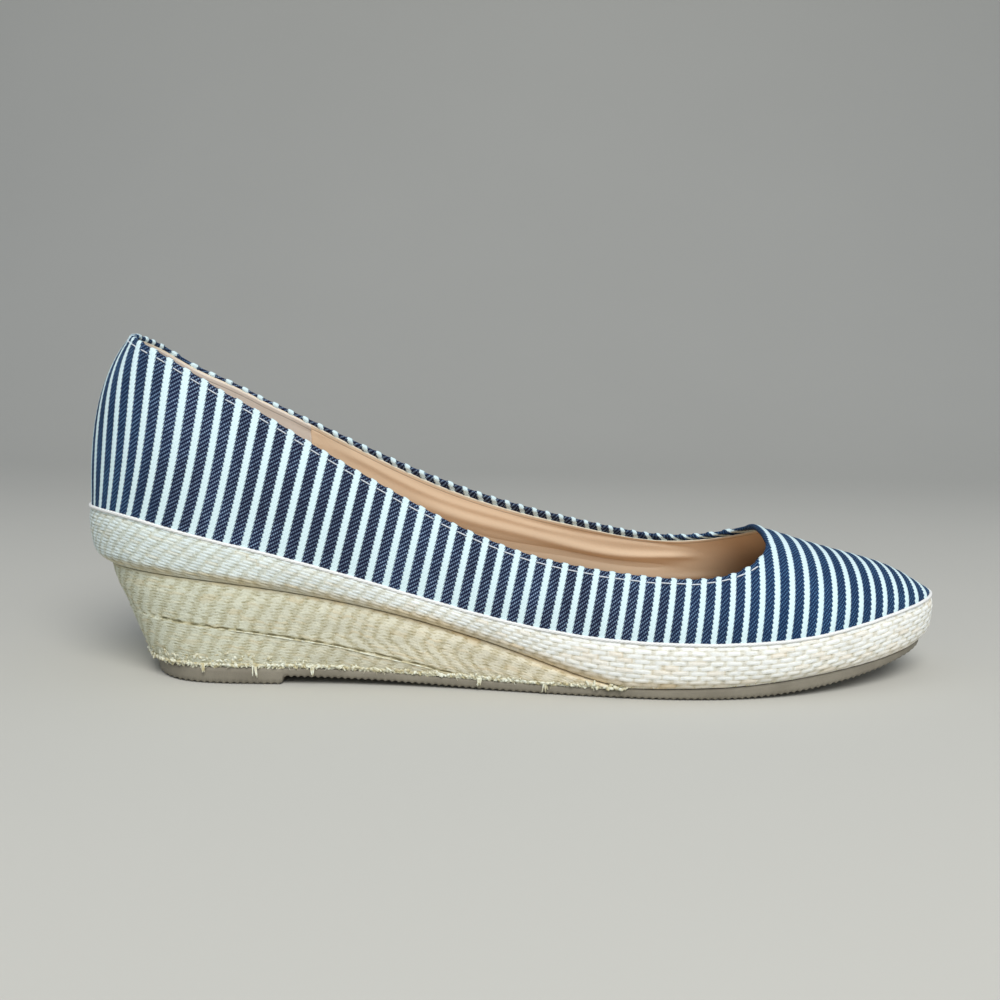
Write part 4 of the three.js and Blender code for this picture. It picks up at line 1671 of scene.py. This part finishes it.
def floor_surface():
    """Floor in metres: flat, then a quarter of a circle up into a wall far behind."""
    flat = np.linspace(-FLOOR_HALF, FLOOR_FLAT, 30)
    bend = np.linspace(0, math.pi / 2, 17)[1:]
    back = FLOOR_FLAT + FLOOR_BEND
    profile_y = np.concatenate([flat, FLOOR_FLAT + FLOOR_BEND * np.sin(bend), [back]])
    profile_z = np.concatenate([0 * flat, FLOOR_BEND * (1 - np.cos(bend)), [FLOOR_WALL]])
    x, y = np.meshgrid(np.linspace(-FLOOR_HALF, FLOOR_HALF, 41), profile_y)
    z = np.broadcast_to(profile_z[:, None], x.shape)
    rows, size = x.shape
    i = (np.arange(rows - 1)[:, None] * size + np.arange(size - 1)).ravel()
    faces = np.stack([i, i + 1, i + 1 + size, i + size], -1)
    return np.stack([x, y, z], -1).reshape(-1, 3), faces.tolist()


def make_stage(settings):
    """Floor that curves up far behind, soft lights, pale sky and the camera."""
    floor = add_object("floor", *floor_surface(), floor_material(settings))
    world = bpy.data.worlds.new("soft_sky")
    world.use_nodes = True
    sky = world.node_tree.nodes["Background"]
    sky.inputs["Color"].default_value = (*settings.sky, 1)
    sky.inputs["Strength"].default_value = settings.sky_strength
    bpy.context.scene.world = world
    add_light("key", (0.15, -0.9, 1.05), (0, 0, 0.03), settings.key_power, (1.0, 0.98, 0.95))
    add_light("fill", (0.7, -0.9, 0.8), (0, 0, 0.04), settings.fill_power, (0.9, 0.95, 1.0))
    camera = bpy.data.cameras.new("camera")
    camera.lens = 37.8
    camera.sensor_width = 36
    camera.clip_start = 0.01
    camera.clip_end = 20
    holder = bpy.data.objects.new("camera", camera)
    holder.matrix_world = camera_place(CAMERA_PLACE, CAMERA_DOWN, CAMERA_LEFT, CAMERA_ROLL)
    bpy.context.scene.collection.objects.link(holder)
    bpy.context.scene.camera = holder
    bpy.context.scene.view_settings.view_transform = "Standard"


def add_light(name, place, target, power, colour):
    """Round soft light at a place, turned to its target."""
    lamp = bpy.data.lights.new(name, "AREA")
    lamp.shape = "DISK"
    lamp.size = LIGHT_SIZE
    lamp.energy = power
    lamp.color = colour
    holder = bpy.data.objects.new(name, lamp)
    back = unit(np.array(place) - np.array(target))
    side = unit(np.cross([0, 0, 1], back))
    holder.matrix_world = placed_axes(place, side, np.cross(back, side), back)
    bpy.context.scene.collection.objects.link(holder)


def placed_axes(place, *axes):
    """Matrix with these three axes at a place."""
    matrix = np.eye(4)
    matrix[:3, :3] = np.stack(axes, 1)
    matrix[:3, 3] = place
    return Matrix(matrix.tolist())


def camera_place(place, down, left, roll):
    """Camera matrix that looks along +Y, turned down, left and rolled by degrees."""
    down, left, roll = (math.radians(v) for v in (down, left, roll))
    level = np.array([-math.sin(left), math.cos(left), 0])
    right = np.array([math.cos(left), math.sin(left), 0])
    upright = np.array([0, 0, 1.0])
    ahead = math.cos(down) * level - math.sin(down) * upright
    up = math.sin(down) * level + math.cos(down) * upright
    rolled_right = math.cos(roll) * right + math.sin(roll) * up
    rolled_up = -math.sin(roll) * right + math.cos(roll) * up
    return placed_axes(place, rolled_right, rolled_up, -ahead)


# ---------------------------------------------------------------- operators, panel, registration


class StagePart(bpy.types.Operator):
    """Make the floor, the lights and the camera"""

    bl_idname = "espadrille.stage"
    bl_label = "Stage"

    def execute(self, context):
        make_stage(context.scene.espadrille_stage)
        return {"FINISHED"}


class UpperPart(bpy.types.Operator):
    """Make the striped cloth upper"""

    bl_idname = "espadrille.upper"
    bl_label = "Upper"

    def execute(self, context):
        make_upper(context.scene.espadrille_cloth)
        return {"FINISHED"}


class StitchPart(bpy.types.Operator):
    """Make the topstitching along the collar"""

    bl_idname = "espadrille.topstitch"
    bl_label = "Topstitching"

    def execute(self, context):
        make_topstitch(context.scene.espadrille_cloth)
        return {"FINISHED"}


class InsidePart(bpy.types.Operator):
    """Make the lining, the heel grip and the sock"""

    bl_idname = "espadrille.inside"
    bl_label = "Lining and sock"

    def execute(self, context):
        settings = context.scene.espadrille_inside
        make_lining(settings)
        make_heel_grip(settings)
        make_sock(settings)
        return {"FINISHED"}


class BandPart(bpy.types.Operator):
    """Make the braided band of the platform and its edge cord"""

    bl_idname = "espadrille.band"
    bl_label = "Jute band"

    def execute(self, context):
        make_band(context.scene.espadrille_jute)
        make_edge_cord(context.scene.espadrille_jute)
        return {"FINISHED"}


class WedgePart(bpy.types.Operator):
    """Make the braided wedge and its frayed lower edge"""

    bl_idname = "espadrille.wedge"
    bl_label = "Jute wedge"

    def execute(self, context):
        make_wedge(context.scene.espadrille_jute)
        make_selvage(context.scene.espadrille_jute)
        make_fringe(context.scene.espadrille_jute)
        return {"FINISHED"}


class SolePart(bpy.types.Operator):
    """Make the rubber sole"""

    bl_idname = "espadrille.sole"
    bl_label = "Rubber sole"

    def execute(self, context):
        make_outsole(context.scene.espadrille_sole)
        return {"FINISHED"}


OPERATORS = (StagePart, UpperPart, StitchPart, InsidePart, BandPart, WedgePart, SolePart)
SETTINGS = {
    "espadrille_cloth": ClothSettings,
    "espadrille_jute": JuteSettings,
    "espadrille_inside": InsideSettings,
    "espadrille_sole": SoleSettings,
    "espadrille_stage": StageSettings,
}


class EspadrillePanel(bpy.types.Panel):
    """Lists the settings and the pieces"""

    bl_idname = "VIEW3D_PT_espadrille"
    bl_label = "Espadrille"
    bl_space_type = "VIEW_3D"
    bl_region_type = "UI"
    bl_category = "Espadrille"

    def draw(self, context):
        for name, group in SETTINGS.items():
            box = self.layout.box()
            box.label(text=group.__doc__)
            for key in group.__annotations__:
                box.prop(getattr(context.scene, name), key)
        for operator in OPERATORS:
            self.layout.operator(operator.bl_idname)


def register():
    for kind in (*SETTINGS.values(), *OPERATORS, EspadrillePanel):
        bpy.utils.register_class(kind)
    for name, group in SETTINGS.items():
        setattr(bpy.types.Scene, name, PointerProperty(type=group))


def unregister():
    for name in SETTINGS:
        delattr(bpy.types.Scene, name)
    for kind in (EspadrillePanel, *reversed(OPERATORS), *reversed(SETTINGS.values())):
        bpy.utils.unregister_class(kind)


def main():
    register()
    for operator in OPERATORS:
        group, name = operator.bl_idname.split(".")
        getattr(getattr(bpy.ops, group), name)()


if __name__ == "__main__":
    main()
